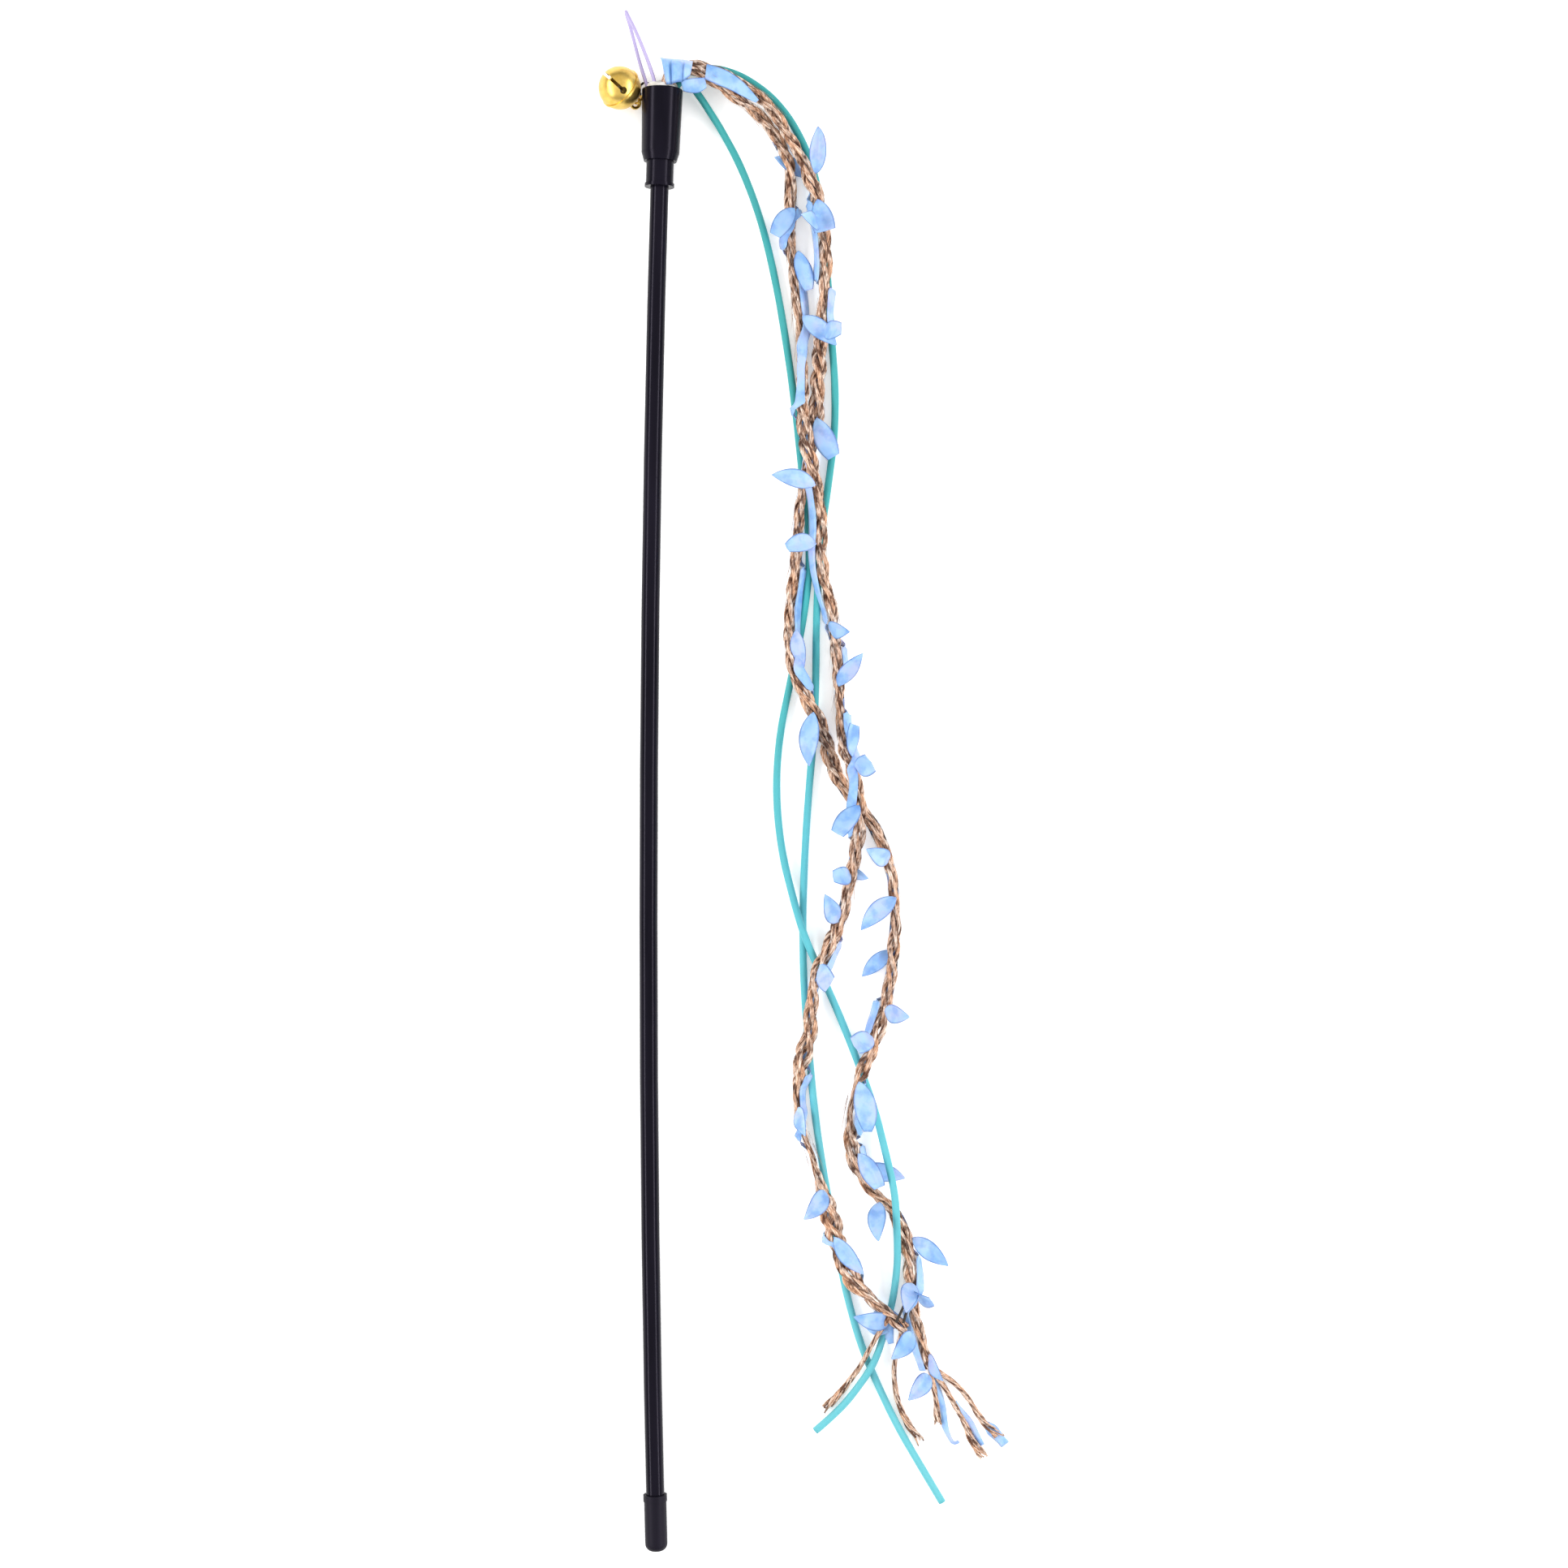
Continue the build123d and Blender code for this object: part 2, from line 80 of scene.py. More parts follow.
# Ropes: plies laid round each other, each of yarns that are twisted the other way
ROPE_STEP = 0.7
ROPE_RADIUS = 1.6
PLIES = 3
PLY_OFFSET = 0.98
PLY_PITCH = 21.0
PLY_SWAY = (0.9, 14.0, 1)
PLY_LOOSENESS = (0.45, 12.0, 5)
YARNS = 6
YARN_SIDES = 6
YARN_OFFSET = 0.40
YARN_RADIUS = 0.33
YARN_PITCH = 13.0
YARN_SWAY = (0.7, 8.0, 20)
YARN_LOOSENESS = (0.3, 5.0, 40)
YARN_SWELL = (0.25, 3.0, 60)

# Loose fibres: ranges for their steps along the rope, their turn round it and their rise off it
FIBRES = 320
FIBRE_SIDES = 3
FIBRE_MARGIN = 4
FIBRE_STEPS = (5, 12)
FIBRE_TURN = (-0.8, 0.8)
FIBRE_RISE = (0.15, 1.1)
FIBRE_RISE_POWER = 1.5
FIBRE_ROOT_SHARE = 0.95
FIBRE_RADIUS = 0.055
FIBRE_TAPER = 0.6

# Ribbons: lifted off the rope, more so at its sides, where they lean to face upwards
RIBBON_WIDTH = 2.8
RIBBON_THICKNESS = 0.16
RIBBON_CROWN = 0.2
RIBBON_LIFT = 0.25
RIBBON_SIDE_LIFT = 0.5
RIBBON_SWAY = (0.15, 20.0, 0)
RIBBON_SLACK = (0.4, 17.0, 3)
RIBBON_SWELL = (0.4, 9.0, 6)
RIBBON_LEAN = 0.65
RIBBON_LEAN_RANGE = (-0.6, 0.1)
LOOSE_END_LEAN = 0.5
LOOSE_END_TWIST = 5.0

# Section of the ribbon: place across it from -1 to 1, and its lower or upper face
RIBBON_SECTION = [(-1, -1), (-0.5, -1), (0.5, -1), (1, -1), (1, 1), (0.5, 1), (-0.5, 1), (-1, 1)]

# Leaves: outline, ranges for their arch, crease and sideways bend, ripple, and the seat on the rope
LEAF_ROWS = 18
LEAF_COLUMNS = 9
LEAF_THICKNESS = 0.14
LEAF_WIDTH_SHARE = 0.4
LEAF_LEAST_SHARE = 0.05
LEAF_WIDEST_POWER = 0.9
LEAF_ROUND_POWER = 0.8
LEAF_ARCH = (0.15, 0.4)
LEAF_CREASE = (0.12, 0.35)
LEAF_SIDE_BEND = (-0.25, 0.25)
LEAF_RIPPLE = 0.08
LEAF_RIPPLE_ALONG = 7.0
LEAF_RIPPLE_ACROSS = 2.5
LEAF_SEAT = 2.1
LEAF_SEAT_REACH = 1.8

# Tails: yarns that part towards their tips, with ranges for how far they part and where they are cut
TAIL_STEP = 0.8
TAIL_YARNS = 8
TAIL_SIDES = 7
TAIL_RADIUS = 0.29
TAIL_TAPER = 0.25
TAIL_TWIST = 0.35
TAIL_OFFSET = 0.45
TAIL_PART_SHARE = 0.55
TAIL_PART_POWER = 1.4
TAIL_PART = (0.8, 3.2)
TAIL_CUT = (0.92, 1.0)
TAIL_WANDER = (0.5, 6.0, 0)
TAIL_FLOOR_GAP = 0.05

# Strings, nylon loop, and the threads of the bell and of the left vine's foot
STRING_STEP = 1.2
STRING_RADIUS = 1.0
STRING_SIDES = 16
STRING_SWELL = (0.05, 8.0, 0)
LOOP_RADIUS = 0.5
THREAD_SIDES = 9
TETHER_STEP = 0.25
TETHER_PLIES = 2
TETHER_PLY_RADIUS = 0.21
TETHER_PLY_OFFSET = 0.15
TETHER_TWIST = 3.2
TIE_STEP = 0.3
TIE_RADIUS = 0.38

# Satin at the mouth: thickness, the size that it is cut to, and the runs across and along each fold
SATIN_THICKNESS = 0.18
WRAP_COLUMNS = 14
WRAP_ROWS = 28
WRAP_TEXTURE_STEP = 0.05

# Lumpy glue at the cup's mouth
MOUTH_PLACE = Vector((0.44, 199.99, 5.60))
MOUTH_AXIS = Vector((0.028273, 0.999582, 0.006109))
GLUE_ROWS = 14
GLUE_COLUMNS = 40
GLUE_RADIUS = 4.7
GLUE_TIP_RADIUS = 0.02
GLUE_EDGE_POWER = 2.2
GLUE_RISE = 2.3
GLUE_DEPTH = 2.0
GLUE_LUMPS = 0.45
GLUE_LUMPS_ROUND = 2.2
GLUE_LUMPS_UP = 3.0

# Routes of the strands
VINE_LEFT_ROUTE = [
    (1.3, 195.6, 8.4), (1.4, 200.4, 8.4), (3.6, 204.5, 8.4), (8.5, 205.4, 8.1), (12.5, 203.0, 7.3),
    (16.5, 200.6, 6.5), (21.0, 198.0, 5.0), (25.5, 195.0, 3.2), (29.5, 191.0, 1.9), (33.0, 186.0, 1.6),
    (35.4, 180.0, 1.6), (35.6, 171.0, 1.6), (35.5, 159.0, 1.6), (37.0, 145.5, 1.6), (38.5, 133.0, 1.6),
    (39.0, 122.5, 2.0), (39.0, 113.0, 5.0), (39.5, 105.0, 9.2), (41.5, 97.5, 9.2), (43.5, 90.0, 6.0),
    (44.5, 81.5, 4.0), (44.0, 73.0, 4.0), (45.5, 64.5, 3.2), (48.0, 56.0, 1.6), (48.5, 46.5, 1.6),
    (49.5, 36.5, 1.6), (49.5, 28.0, 2.4), (50.5, 20.5, 5.0), (53.0, 14.0, 7.4), (55.0, 6.5, 7.8),
    (55.2, -0.5, 5.8), (54.2, -7.5, 2.6), (52.5, -16.0, 1.6), (51.0, -24.0, 1.6), (48.5, -30.5, 2.2),
    (45.5, -36.5, 4.6), (43.0, -42.5, 5.2), (42.0, -50.5, 4.6), (41.5, -58.5, 4.2), (39.5, -65.5, 4.2),
    (38.0, -72.0, 2.6), (38.0, -78.5, 1.8), (40.0, -85.5, 2.2), (42.5, -92.0, 3.6), (44.5, -99.0, 4.0),
    (47.0, -106.5, 4.0), (49.0, -114.5, 4.0), (51.5, -121.5, 4.0), (55.0, -127.5, 4.2), (60.0, -132.0, 4.6),
    (64.5, -135.5, 4.6), (68.0, -139.0, 4.0),
]
VINE_RIGHT_ROUTE = [
    (0.9, 195.6, 4.9), (0.9, 201.0, 4.9), (3.2, 205.4, 5.0), (8.5, 207.0, 5.0), (12.5, 206.0, 4.8),
    (16.5, 205.0, 4.6), (20.5, 203.0, 4.5), (25.0, 200.0, 4.4), (29.0, 196.5, 4.3), (32.5, 192.0, 4.2),
    (35.0, 187.5, 4.1), (38.0, 182.5, 4.0), (40.5, 177.5, 4.0), (43.0, 171.0, 4.0), (44.5, 163.0, 4.0),
    (45.5, 153.5, 4.0), (44.5, 144.5, 4.0), (44.0, 136.0, 3.8), (43.5, 128.0, 2.4), (43.5, 120.0, 2.0),
    (42.5, 111.5, 3.2), (41.5, 103.5, 3.9), (40.3, 96.0, 3.9), (38.5, 88.5, 3.9), (38.0, 80.0, 3.9),
    (37.5, 71.5, 2.6), (36.0, 62.0, 1.8), (35.5, 51.5, 2.4), (36.5, 41.5, 4.0), (39.5, 35.0, 4.2),
    (43.0, 29.5, 4.1), (45.5, 23.5, 3.2), (47.0, 16.5, 1.9), (50.0, 10.5, 1.6), (54.0, 5.0, 1.6),
    (58.5, 0.0, 1.6), (61.5, -6.5, 1.6), (64.0, -14.0, 1.6), (65.0, -23.0, 1.6), (65.0, -32.0, 1.6),
    (64.0, -42.0, 1.6), (62.0, -52.0, 1.6), (59.5, -60.5, 2.8), (56.5, -67.0, 4.2), (54.0, -73.0, 3.6),
    (52.5, -81.0, 1.8), (53.0, -89.0, 1.6), (55.0, -96.5, 1.6), (59.0, -102.0, 1.6), (64.0, -105.5, 1.6),
    (67.5, -111.5, 1.6), (69.0, -118.5, 1.6), (69.5, -126.5, 1.6), (70.5, -134.5, 1.6), (72.5, -142.5, 1.6),
    (75.0, -150.0, 1.6),
]
STRING_LEFT_ROUTE = [
    (3.7, 195.6, 4.0), (3.7, 199.6, 4.0), (4.3, 201.7, 3.9), (5.7, 202.9, 3.8), (7.2, 202.8, 3.7),
    (8.5, 201.5, 3.5), (10.0, 199.5, 3.1), (11.5, 197.5, 2.7), (13.5, 194.5, 2.0), (16.5, 190.0, 1.3),
    (22.0, 180.0, 1.0), (27.5, 165.5, 1.0), (31.5, 149.0, 1.0), (34.5, 132.0, 1.0), (37.0, 114.5, 1.0),
    (39.0, 95.5, 1.0), (41.0, 78.5, 1.0), (41.0, 66.5, 1.0), (39.0, 52.5, 1.0), (36.0, 38.5, 1.0),
    (33.0, 24.0, 1.0), (32.0, 8.5, 1.0), (33.5, -7.5, 1.1), (37.0, -21.5, 2.8), (40.0, -31.5, 3.5),
    (44.5, -41.5, 1.7), (49.5, -52.5, 1.0), (54.5, -65.0, 1.0), (59.5, -78.5, 1.0), (62.5, -90.5, 3.6),
    (65.0, -101.0, 7.0), (65.5, -110.0, 7.0), (66.0, -120.0, 2.8), (65.0, -130.5, 1.0), (62.5, -140.0, 1.7),
    (60.0, -147.5, 3.6), (56.0, -154.0, 3.0), (50.0, -162.0, 1.2), (43.5, -167.5, 1.0),
]
STRING_RIGHT_ROUTE = [
    (0.9, 195.6, 2.0), (0.9, 200.8, 2.0), (3.2, 205.0, 1.9), (8.5, 207.2, 1.6), (12.5, 207.0, 1.4),
    (16.5, 206.8, 1.2), (23.0, 204.5, 1.0), (29.5, 200.0, 1.0), (34.0, 195.0, 1.0), (37.5, 189.5, 1.0),
    (41.0, 182.0, 1.0), (43.5, 172.5, 1.0), (45.0, 160.0, 1.0), (46.0, 148.0, 1.0), (46.8, 134.5, 1.0),
    (48.0, 121.0, 1.0), (48.0, 107.5, 1.0), (46.5, 94.5, 1.0), (44.5, 81.0, 1.0), (43.5, 67.5, 1.0),
    (43.0, 53.0, 1.0), (43.0, 39.5, 1.0), (42.5, 24.0, 1.0), (41.0, 7.0, 1.0), (40.0, -10.5, 1.0),
    (39.5, -28.5, 1.0), (40.0, -46.5, 1.0), (41.5, -64.0, 1.0), (43.0, -80.0, 1.0), (45.0, -93.0, 1.0),
    (47.5, -107.5, 1.0), (50.0, -120.5, 1.0), (52.5, -132.0, 1.0), (56.0, -144.0, 1.0), (60.5, -154.5, 1.0),
    (66.0, -166.0, 1.0), (72.5, -177.0, 1.0), (78.5, -187.0, 1.0),
]
VINE_LEFT_TAILS = [
    [
        (63.5, -135.5, 4.6), (61.0, -139.5, 4.4), (58.5, -144.0, 3.8), (56.0, -149.0, 3.0),
        (52.5, -154.0, 1.4), (49.0, -158.5, 0.7), (45.0, -162.5, 0.7),
    ],
    [
        (67.5, -138.5, 3.8), (66.0, -144.0, 2.2), (65.0, -150.5, 0.8), (65.5, -157.5, 0.7),
        (67.5, -163.0, 0.7), (70.0, -167.6, 0.7), (73.6, -171.2, 0.7),
    ],
]
VINE_RIGHT_TAILS = [
    [(75.0, -149.5, 1.5), (76.0, -155.0, 0.9), (77.0, -161.0, 0.7), (77.5, -166.5, 0.7)],
    [
        (75.0, -149.5, 1.5), (78.5, -154.5, 0.9), (82.0, -160.5, 0.7), (85.0, -166.0, 0.7),
        (87.0, -171.5, 0.7), (91.0, -175.5, 0.7),
    ],
    [
        (75.0, -149.5, 1.5), (80.5, -153.0, 0.9), (85.5, -158.0, 0.7), (88.5, -163.5, 0.7),
        (92.0, -167.5, 0.7), (95.5, -170.0, 0.7),
    ],
]
LINE_LOOP_ROUTE = [
    (-1.0, 195.6, 8.1), (-1.2, 200.4, 8.2), (-3.0, 206.0, 8.9), (-5.0, 211.0, 9.6), (-6.9, 215.3, 10.1),
    (-8.5, 218.3, 10.3), (-9.4, 220.3, 10.0), (-9.5, 220.4, 7.8), (-8.6, 217.6, 7.5), (-7.3, 213.0, 7.3),
    (-5.8, 207.0, 7.2), (-3.7, 200.7, 7.1), (-2.4, 195.6, 7.1),
]
TETHER_ROUTE = [
    (-2.2, 195.6, 3.6), (-2.3, 199.8, 3.6), (-3.0, 202.0, 3.4), (-4.5, 202.8, 3.0), (-5.8, 201.9, 2.5),
    (-6.0, 200.5, 2.1), (-5.7, 199.2, 1.7),
]

# Leaves: X and Y of the base, 1 on the rope or -1 beneath it, heading, tilt and roll in degrees, whole
# length, and the share of it that is left where the tip is cut off
VINE_LEFT_LEAVES = [
    (39.8, 177.2, -1, 148, 2, 0, 10.5, 1), (36.5, 168.2, 1, -122, 18, 0, 13, 0.8),
    (37.8, 156.6, 1, -75, 5, -25, 13.5, 0.85), (38.9, 138.4, 1, -42, 12, 0, 13, 1),
    (42.6, 91.8, 1, 170, 20, 8, 13, 1), (42.8, 76.2, 1, -165, 40, 5, 13, 0.85),
    (47.0, 52.1, 1, -8, 66, 30, 13, 1), (49.3, 37.2, 1, 53, 32, 32, 13, 1),
    (53.0, 17.8, 1, 88, 8, 48, 13, 0.7), (53.9, 14.8, 1, 22, 60, 5, 15, 0.6),
    (54.6, 4.6, 1, -126, 28, 28, 15, 0.75), (52.4, -14.2, 1, 185, 60, 10, 13, 0.8),
    (51.5, -12.6, -1, -26, 2, 0, 7, 1), (49.2, -27.2, 1, 115, 46, 20, 13, 1),
    (44.3, -39.2, 1, -58, 55, 30, 15, 0.65), (38.4, -78.6, 1, -72, 55, 40, 12, 1),
    (45.4, -100.6, 1, -130, 46, 0, 13, 1), (48.4, -113.4, 1, -50, 14, 22, 13, 1),
    (64.4, -136.3, -1, 170, 30, 5, 13, 1), (70.4, -139.6, 1, -138, 50, 0, 13, 1),
]
VINE_RIGHT_LEAVES = [
    (42.6, 177.4, 1, 88, 8, -25, 13, 1), (42.8, 170.0, 1, -76, 12, 10, 16, 0.6),
    (42.9, 163.6, 1, 178, 68, 15, 13, 1), (44.9, 133.6, 1, -2, 62, 0, 13, 0.8),
    (42.8, 110.4, 1, -66, 8, 0, 15, 0.8), (38.0, 52.6, 1, -78, 5, 20, 11, 1),
    (42.3, 30.0, 1, -94, 4, 26, 15, 1), (62.8, -10.8, 1, 150, 55, 0, 13, 1),
    (65.0, -20.6, 1, -137, 16, 22, 14, 1), (64.2, -35.4, -1, -139, 3, 10, 11, 1),
    (62.2, -52.0, 1, -4, 60, 5, 13, 1), (58.4, -58.6, 1, -156, 55, 15, 15, 0.65),
    (55.0, -71.0, 1, -80, 4, 0, 15.5, 0.9), (55.0, -91.0, 1, -56, 18, 18, 14, 0.8),
    (55.3, -96.0, -1, -10, 2, 0, 13, 1), (60.8, -104.2, 1, -92, 43, 15, 13, 1),
    (70.4, -114.1, 1, -35, 24, 10, 13, 1), (69.5, -126.3, 1, -106, 60, 0, 13, 1),
    (70.3, -129.0, 1, -6, 62, 40, 13, 0.8), (74.6, -146.9, 1, -50, 66, 45, 13, 1),
    (74.6, -152.0, 1, -142, 52, 5, 13, 1),
]

# Ropes: Y along the rope and how far its plies lie apart there, 1 where they are laid evenly
VINE_LEFT_SPREAD = [
    (165.0, 1.0), (158.0, 0.85), (135.0, 0.85), (112.0, 1.2), (97.0, 1.2), (92.0, 1.0), (40.0, 1.0),
    (35.0, 0.75), (26.0, 0.75), (20.0, 1.1), (0.0, 1.25), (-13.0, 1.2), (-18.0, 0.9), (-26.0, 0.95),
    (-31.0, 1.3), (-37.0, 1.25), (-42.0, 0.95), (-60.0, 1.3), (-64.0, 1.5), (-69.0, 1.4), (-74.0, 0.55),
    (-92.0, 0.5), (-98.0, 0.75), (-104.0, 1.75), (-113.0, 1.7), (-118.0, 1.4), (-126.0, 1.6),
    (-133.0, 1.0),
]
VINE_RIGHT_SPREAD = [
    (181.0, 1.0), (175.0, 1.35), (163.0, 1.1), (140.0, 1.0), (130.0, 1.35), (112.0, 1.35), (105.0, 1.0),
    (96.0, 1.0), (88.0, 0.85), (75.0, 0.85), (68.0, 1.0), (38.0, 1.0), (32.0, 1.35), (14.0, 1.45),
    (8.0, 1.0), (-12.0, 1.0), (-16.0, 0.8), (-26.0, 0.8), (-31.0, 1.0), (-52.0, 1.0), (-57.0, 1.2),
    (-69.0, 1.2), (-72.0, 0.5), (-82.0, 0.55), (-87.0, 1.4), (-94.0, 1.35), (-99.0, 0.85), (-106.0, 0.9),
    (-111.0, 1.3), (-124.0, 1.3), (-130.0, 0.9),
]

# Ribbons: Y along the rope and the ribbon's bearing round it in degrees, 0 left, 90 on top and 180 right
VINE_LEFT_RIBBON = [
    (182.8, -90), (169.4, -90), (168.1, -180), (163.9, -270), (158.3, -355), (155.0, -450),
    (151.7, -540), (138.3, -545), (129.4, -620), (122.8, -640), (113.9, -650), (110.5, -810), (95.0, -810),
    (91.7, -720), (79.4, -715), (56.1, -725), (50.6, -810), (47.2, -900), (41.0, -900), (38.0, -810),
    (31.5, -810), (29.4, -900), (17.2, -915), (13.9, -990), (2.8, -1060), (-3.5, -1080), (-6.5, -1170),
    (-29.0, -1170), (-32.8, -1260), (-40.5, -1260), (-45.0, -1170), (-66.1, -1170), (-69.4, -1260),
    (-78.3, -1260), (-83.9, -1350), (-86.0, -1440), (-90.5, -1530), (-110.5, -1530), (-113.2, -1440),
    (-116.0, -1350), (-123.9, -1260), (-128.3, -1170), (-139.0, -1170),
]
VINE_RIGHT_RIBBON = [
    (182.8, -90), (173.5, -90), (169.5, 0), (148.3, 0), (147.2, -90), (145.9, -180), (137.2, -185),
    (133.9, -90), (71.7, -90), (69.4, -180), (47.2, -180), (41.5, -230), (36.1, -195), (32.5, -90),
    (-48.3, -90), (-50.0, 0), (-58.3, 0), (-60.5, -90), (-69.4, -90), (-71.6, -180), (-86.0, -180),
    (-88.0, -90), (-90.0, -180), (-100.5, -185), (-102.7, -90), (-117.2, -90), (-120.5, -180),
    (-128.0, -190), (-131.6, -270), (-135.0, -360), (-150.0, -360),
]

# Loose ends of satin at the foot of the vines: route, and width at its start, middle and end
VINE_LEFT_ENDS = [
    ([(66.0, -137.0, 2.8), (62.5, -138.5, 2.8), (59.0, -138.8, 2.6), (56.0, -136.6, 2.4)], (2.5, 4.6, 1.0)),
    ([(60.2, -133.8, 2.8), (61.8, -137.0, 2.9), (63.6, -140.2, 3.0), (64.2, -143.0, 3.2)], (2.0, 4.4, 1.6)),
]
VINE_RIGHT_ENDS = [
    (
        [
            (76.0, -151.0, 0.5), (77.2, -155.6, 0.4), (78.2, -160.8, 0.4), (79.0, -165.8, 0.4),
            (80.4, -169.4, 0.4), (81.8, -171.4, 0.4), (83.0, -170.2, 0.9),
        ],
        (1.0, 2.4, 0.9),
    ),
    ([(82.0, -159.4, 0.4), (84.8, -163.6, 0.4), (87.2, -167.2, 0.4), (89.4, -171.4, 0.4)], (0.8, 2.2, 1.6)),
    ([(89.0, -164.0, 0.4), (91.6, -166.6, 0.4), (94.0, -169.2, 0.4), (95.8, -171.2, 0.4)], (0.8, 3.4, 2.8)),
]

# How far along its rope each ribbon starts
VINE_LEFT_RIBBON_START = 44.0
VINE_RIGHT_RIBBON_START = 46.0

# Dark thread that ties the foot of the left vine
TIE_ROUTES = [
    [(65.4, -136.6, 6.7), (66.6, -134.0, 6.4), (68.0, -131.4, 5.0)],
    [(67.4, -136.8, 5.9), (68.2, -134.4, 5.4), (68.9, -131.8, 4.2)],
]

# The satin at the mouth: rows of points across each of its folds
COLLAR_ROWS = [
    [(1.7, 200.4, 9.4), (1.2, 203.6, 10.6), (0.4, 207.2, 10.2), (-0.2, 208.2, 7.4)],
    [(2.3, 200.2, 11.4), (2.1, 203.8, 12.6), (1.7, 207.2, 11.6), (1.4, 208.0, 7.0)],
    [(3.0, 200.4, 9.2), (2.9, 203.8, 9.8), (2.7, 207.0, 9.8), (2.6, 208.0, 6.8)],
    [(3.8, 200.4, 11.6), (3.8, 203.8, 12.8), (3.8, 206.9, 11.6), (3.8, 208.0, 6.6)],
    [(5.2, 200.8, 11.2), (5.3, 204.0, 12.4), (5.4, 206.9, 11.0), (5.4, 207.9, 6.6)],
    [(5.9, 201.0, 9.6), (6.1, 204.0, 10.4), (6.3, 206.8, 9.8), (6.4, 207.8, 6.6)],
    [(6.8, 201.4, 11.2), (7.1, 204.1, 12.2), (7.3, 206.7, 10.6), (7.4, 207.6, 6.8)],
    [(8.0, 202.6, 10.4), (8.5, 204.4, 10.8), (8.7, 206.4, 9.4), (8.8, 207.2, 7.2)],
]
LIP_ROWS = [
    [(5.6, 201.6, 10.2), (5.8, 200.3, 9.4), (6.2, 199.0, 8.0)],
    [(7.8, 201.9, 10.4), (8.2, 200.0, 9.8), (8.8, 198.2, 8.4)],
    [(10.2, 202.2, 10.0), (10.6, 200.2, 9.6), (11.2, 198.6, 8.4)],
    [(12.2, 202.4, 9.4), (12.4, 201.0, 8.9), (12.6, 200.0, 8.2)],
]
ARCH_ROWS = [
    [(12.6, 206.6, 7.6), (12.4, 204.6, 9.2), (12.2, 202.0, 9.6)],
    [(16.0, 205.9, 7.4), (15.8, 203.6, 8.7), (15.4, 200.6, 8.9)],
    [(20.2, 203.9, 7.0), (19.6, 201.8, 7.8), (19.0, 199.5, 8.0)],
    [(24.0, 200.7, 6.7), (23.4, 199.4, 6.9), (22.6, 197.8, 6.7)],
    [(26.8, 197.2, 6.2), (26.4, 196.8, 6.2), (26.0, 196.4, 6.0)],
]


# Camera

def add_object(name, data):
    """A new object in the scene."""
    made = bpy.data.objects.new(name, data)
    bpy.context.scene.collection.objects.link(made)
    return made


def make_camera():
    data = bpy.data.cameras.new("camera")
    data.sensor_width = SENSOR_WIDTH
    data.lens = SENSOR_WIDTH * (CAMERA_PLACE.z - FRAME_HEIGHT) / FRAME_WIDTH
    data.clip_start = CAMERA_NEAR * MM
    camera = add_object("camera", data)
    camera.location = CAMERA_PLACE * MM
    camera.rotation_euler = (0, 0, CAMERA_ROLL)
    bpy.context.scene.camera = camera


make_camera()


# Lines and sweeps

def nurbs_curve(name, route):
    """A smooth open line with the route's points as its control points."""
    curve = bpy.data.curves.new(name, "CURVE")
    curve.dimensions = "3D"
    spline = curve.splines.new("NURBS")
    spline.points.add(len(route) - 1)
    for point, place in zip(spline.points, route):
        point.co = (*(Vector(place) * MM), 1)
    spline.order_u = 3
    spline.use_endpoint_u = True
    spline.resolution_u = 16
    return add_object(name, curve)


def smooth_points(route):
    """Points of the route's smooth line in millimetres."""
    line = nurbs_curve("line", route)
    mesh = bpy.data.meshes.new_from_object(line)
    points = [vertex.co / MM for vertex in mesh.vertices]
    curve = line.data
    bpy.data.objects.remove(line)
    bpy.data.curves.remove(curve)
    bpy.data.meshes.remove(mesh)
    return points


def reaches(points):
    """How far along the line each of its points lies."""
    reach = [0.0]
    for before, after in zip(points, points[1:]):
        reach.append(reach[-1] + (after - before).length)
    return reach


def even_points(points, runs):
    """Points that part the line into runs of one length."""
    reach = reaches(points)
    places = []
    index = 0
    for number in range(runs + 1):
        goal = reach[-1] * number / runs
        while index < len(points) - 2 and reach[index + 1] < goal:
            index += 1
        span = reach[index + 1] - reach[index]
        places.append(points[index].lerp(points[index + 1], (goal - reach[index]) / span))
    return places


class Line:
    """The route's smooth line in even steps, with a level side and an upward direction at each point."""

    def __init__(self, route, step):
        smooth = smooth_points(route)
        points = even_points(smooth, max(2, round(reaches(smooth)[-1] / step)))
        self.points = points
        self.reach = reaches(points)
        self.sides = []
        self.ups = []
        last = len(points) - 1
        for index in range(len(points)):
            along = (points[min(index + 1, last)] - points[max(index - 1, 0)]).normalized()
            side = along.cross(Vector((0, 0, 1))).normalized()
            self.sides.append(side)
            self.ups.append(side.cross(along))

    def offset(self, index, side, up):
        return self.points[index] + self.sides[index] * side + self.ups[index] * up


def ease(value, low, high):
    """From 0 at low to 1 at high, without corners."""
    share = min(1.0, max(0.0, (value - low) / (high - low)))
    return share * share * (3 - 2 * share)


def waver(reach, kind, number):
    """Smooth noise along a line, of the kind's amount and wavelength, for the strand with this number."""
    amount, wavelength, first_seed = kind
    across, up = SEED_STRIDE
    seed = first_seed + number
    return amount * noise.noise(Vector((reach / wavelength, seed * across, seed * up)))


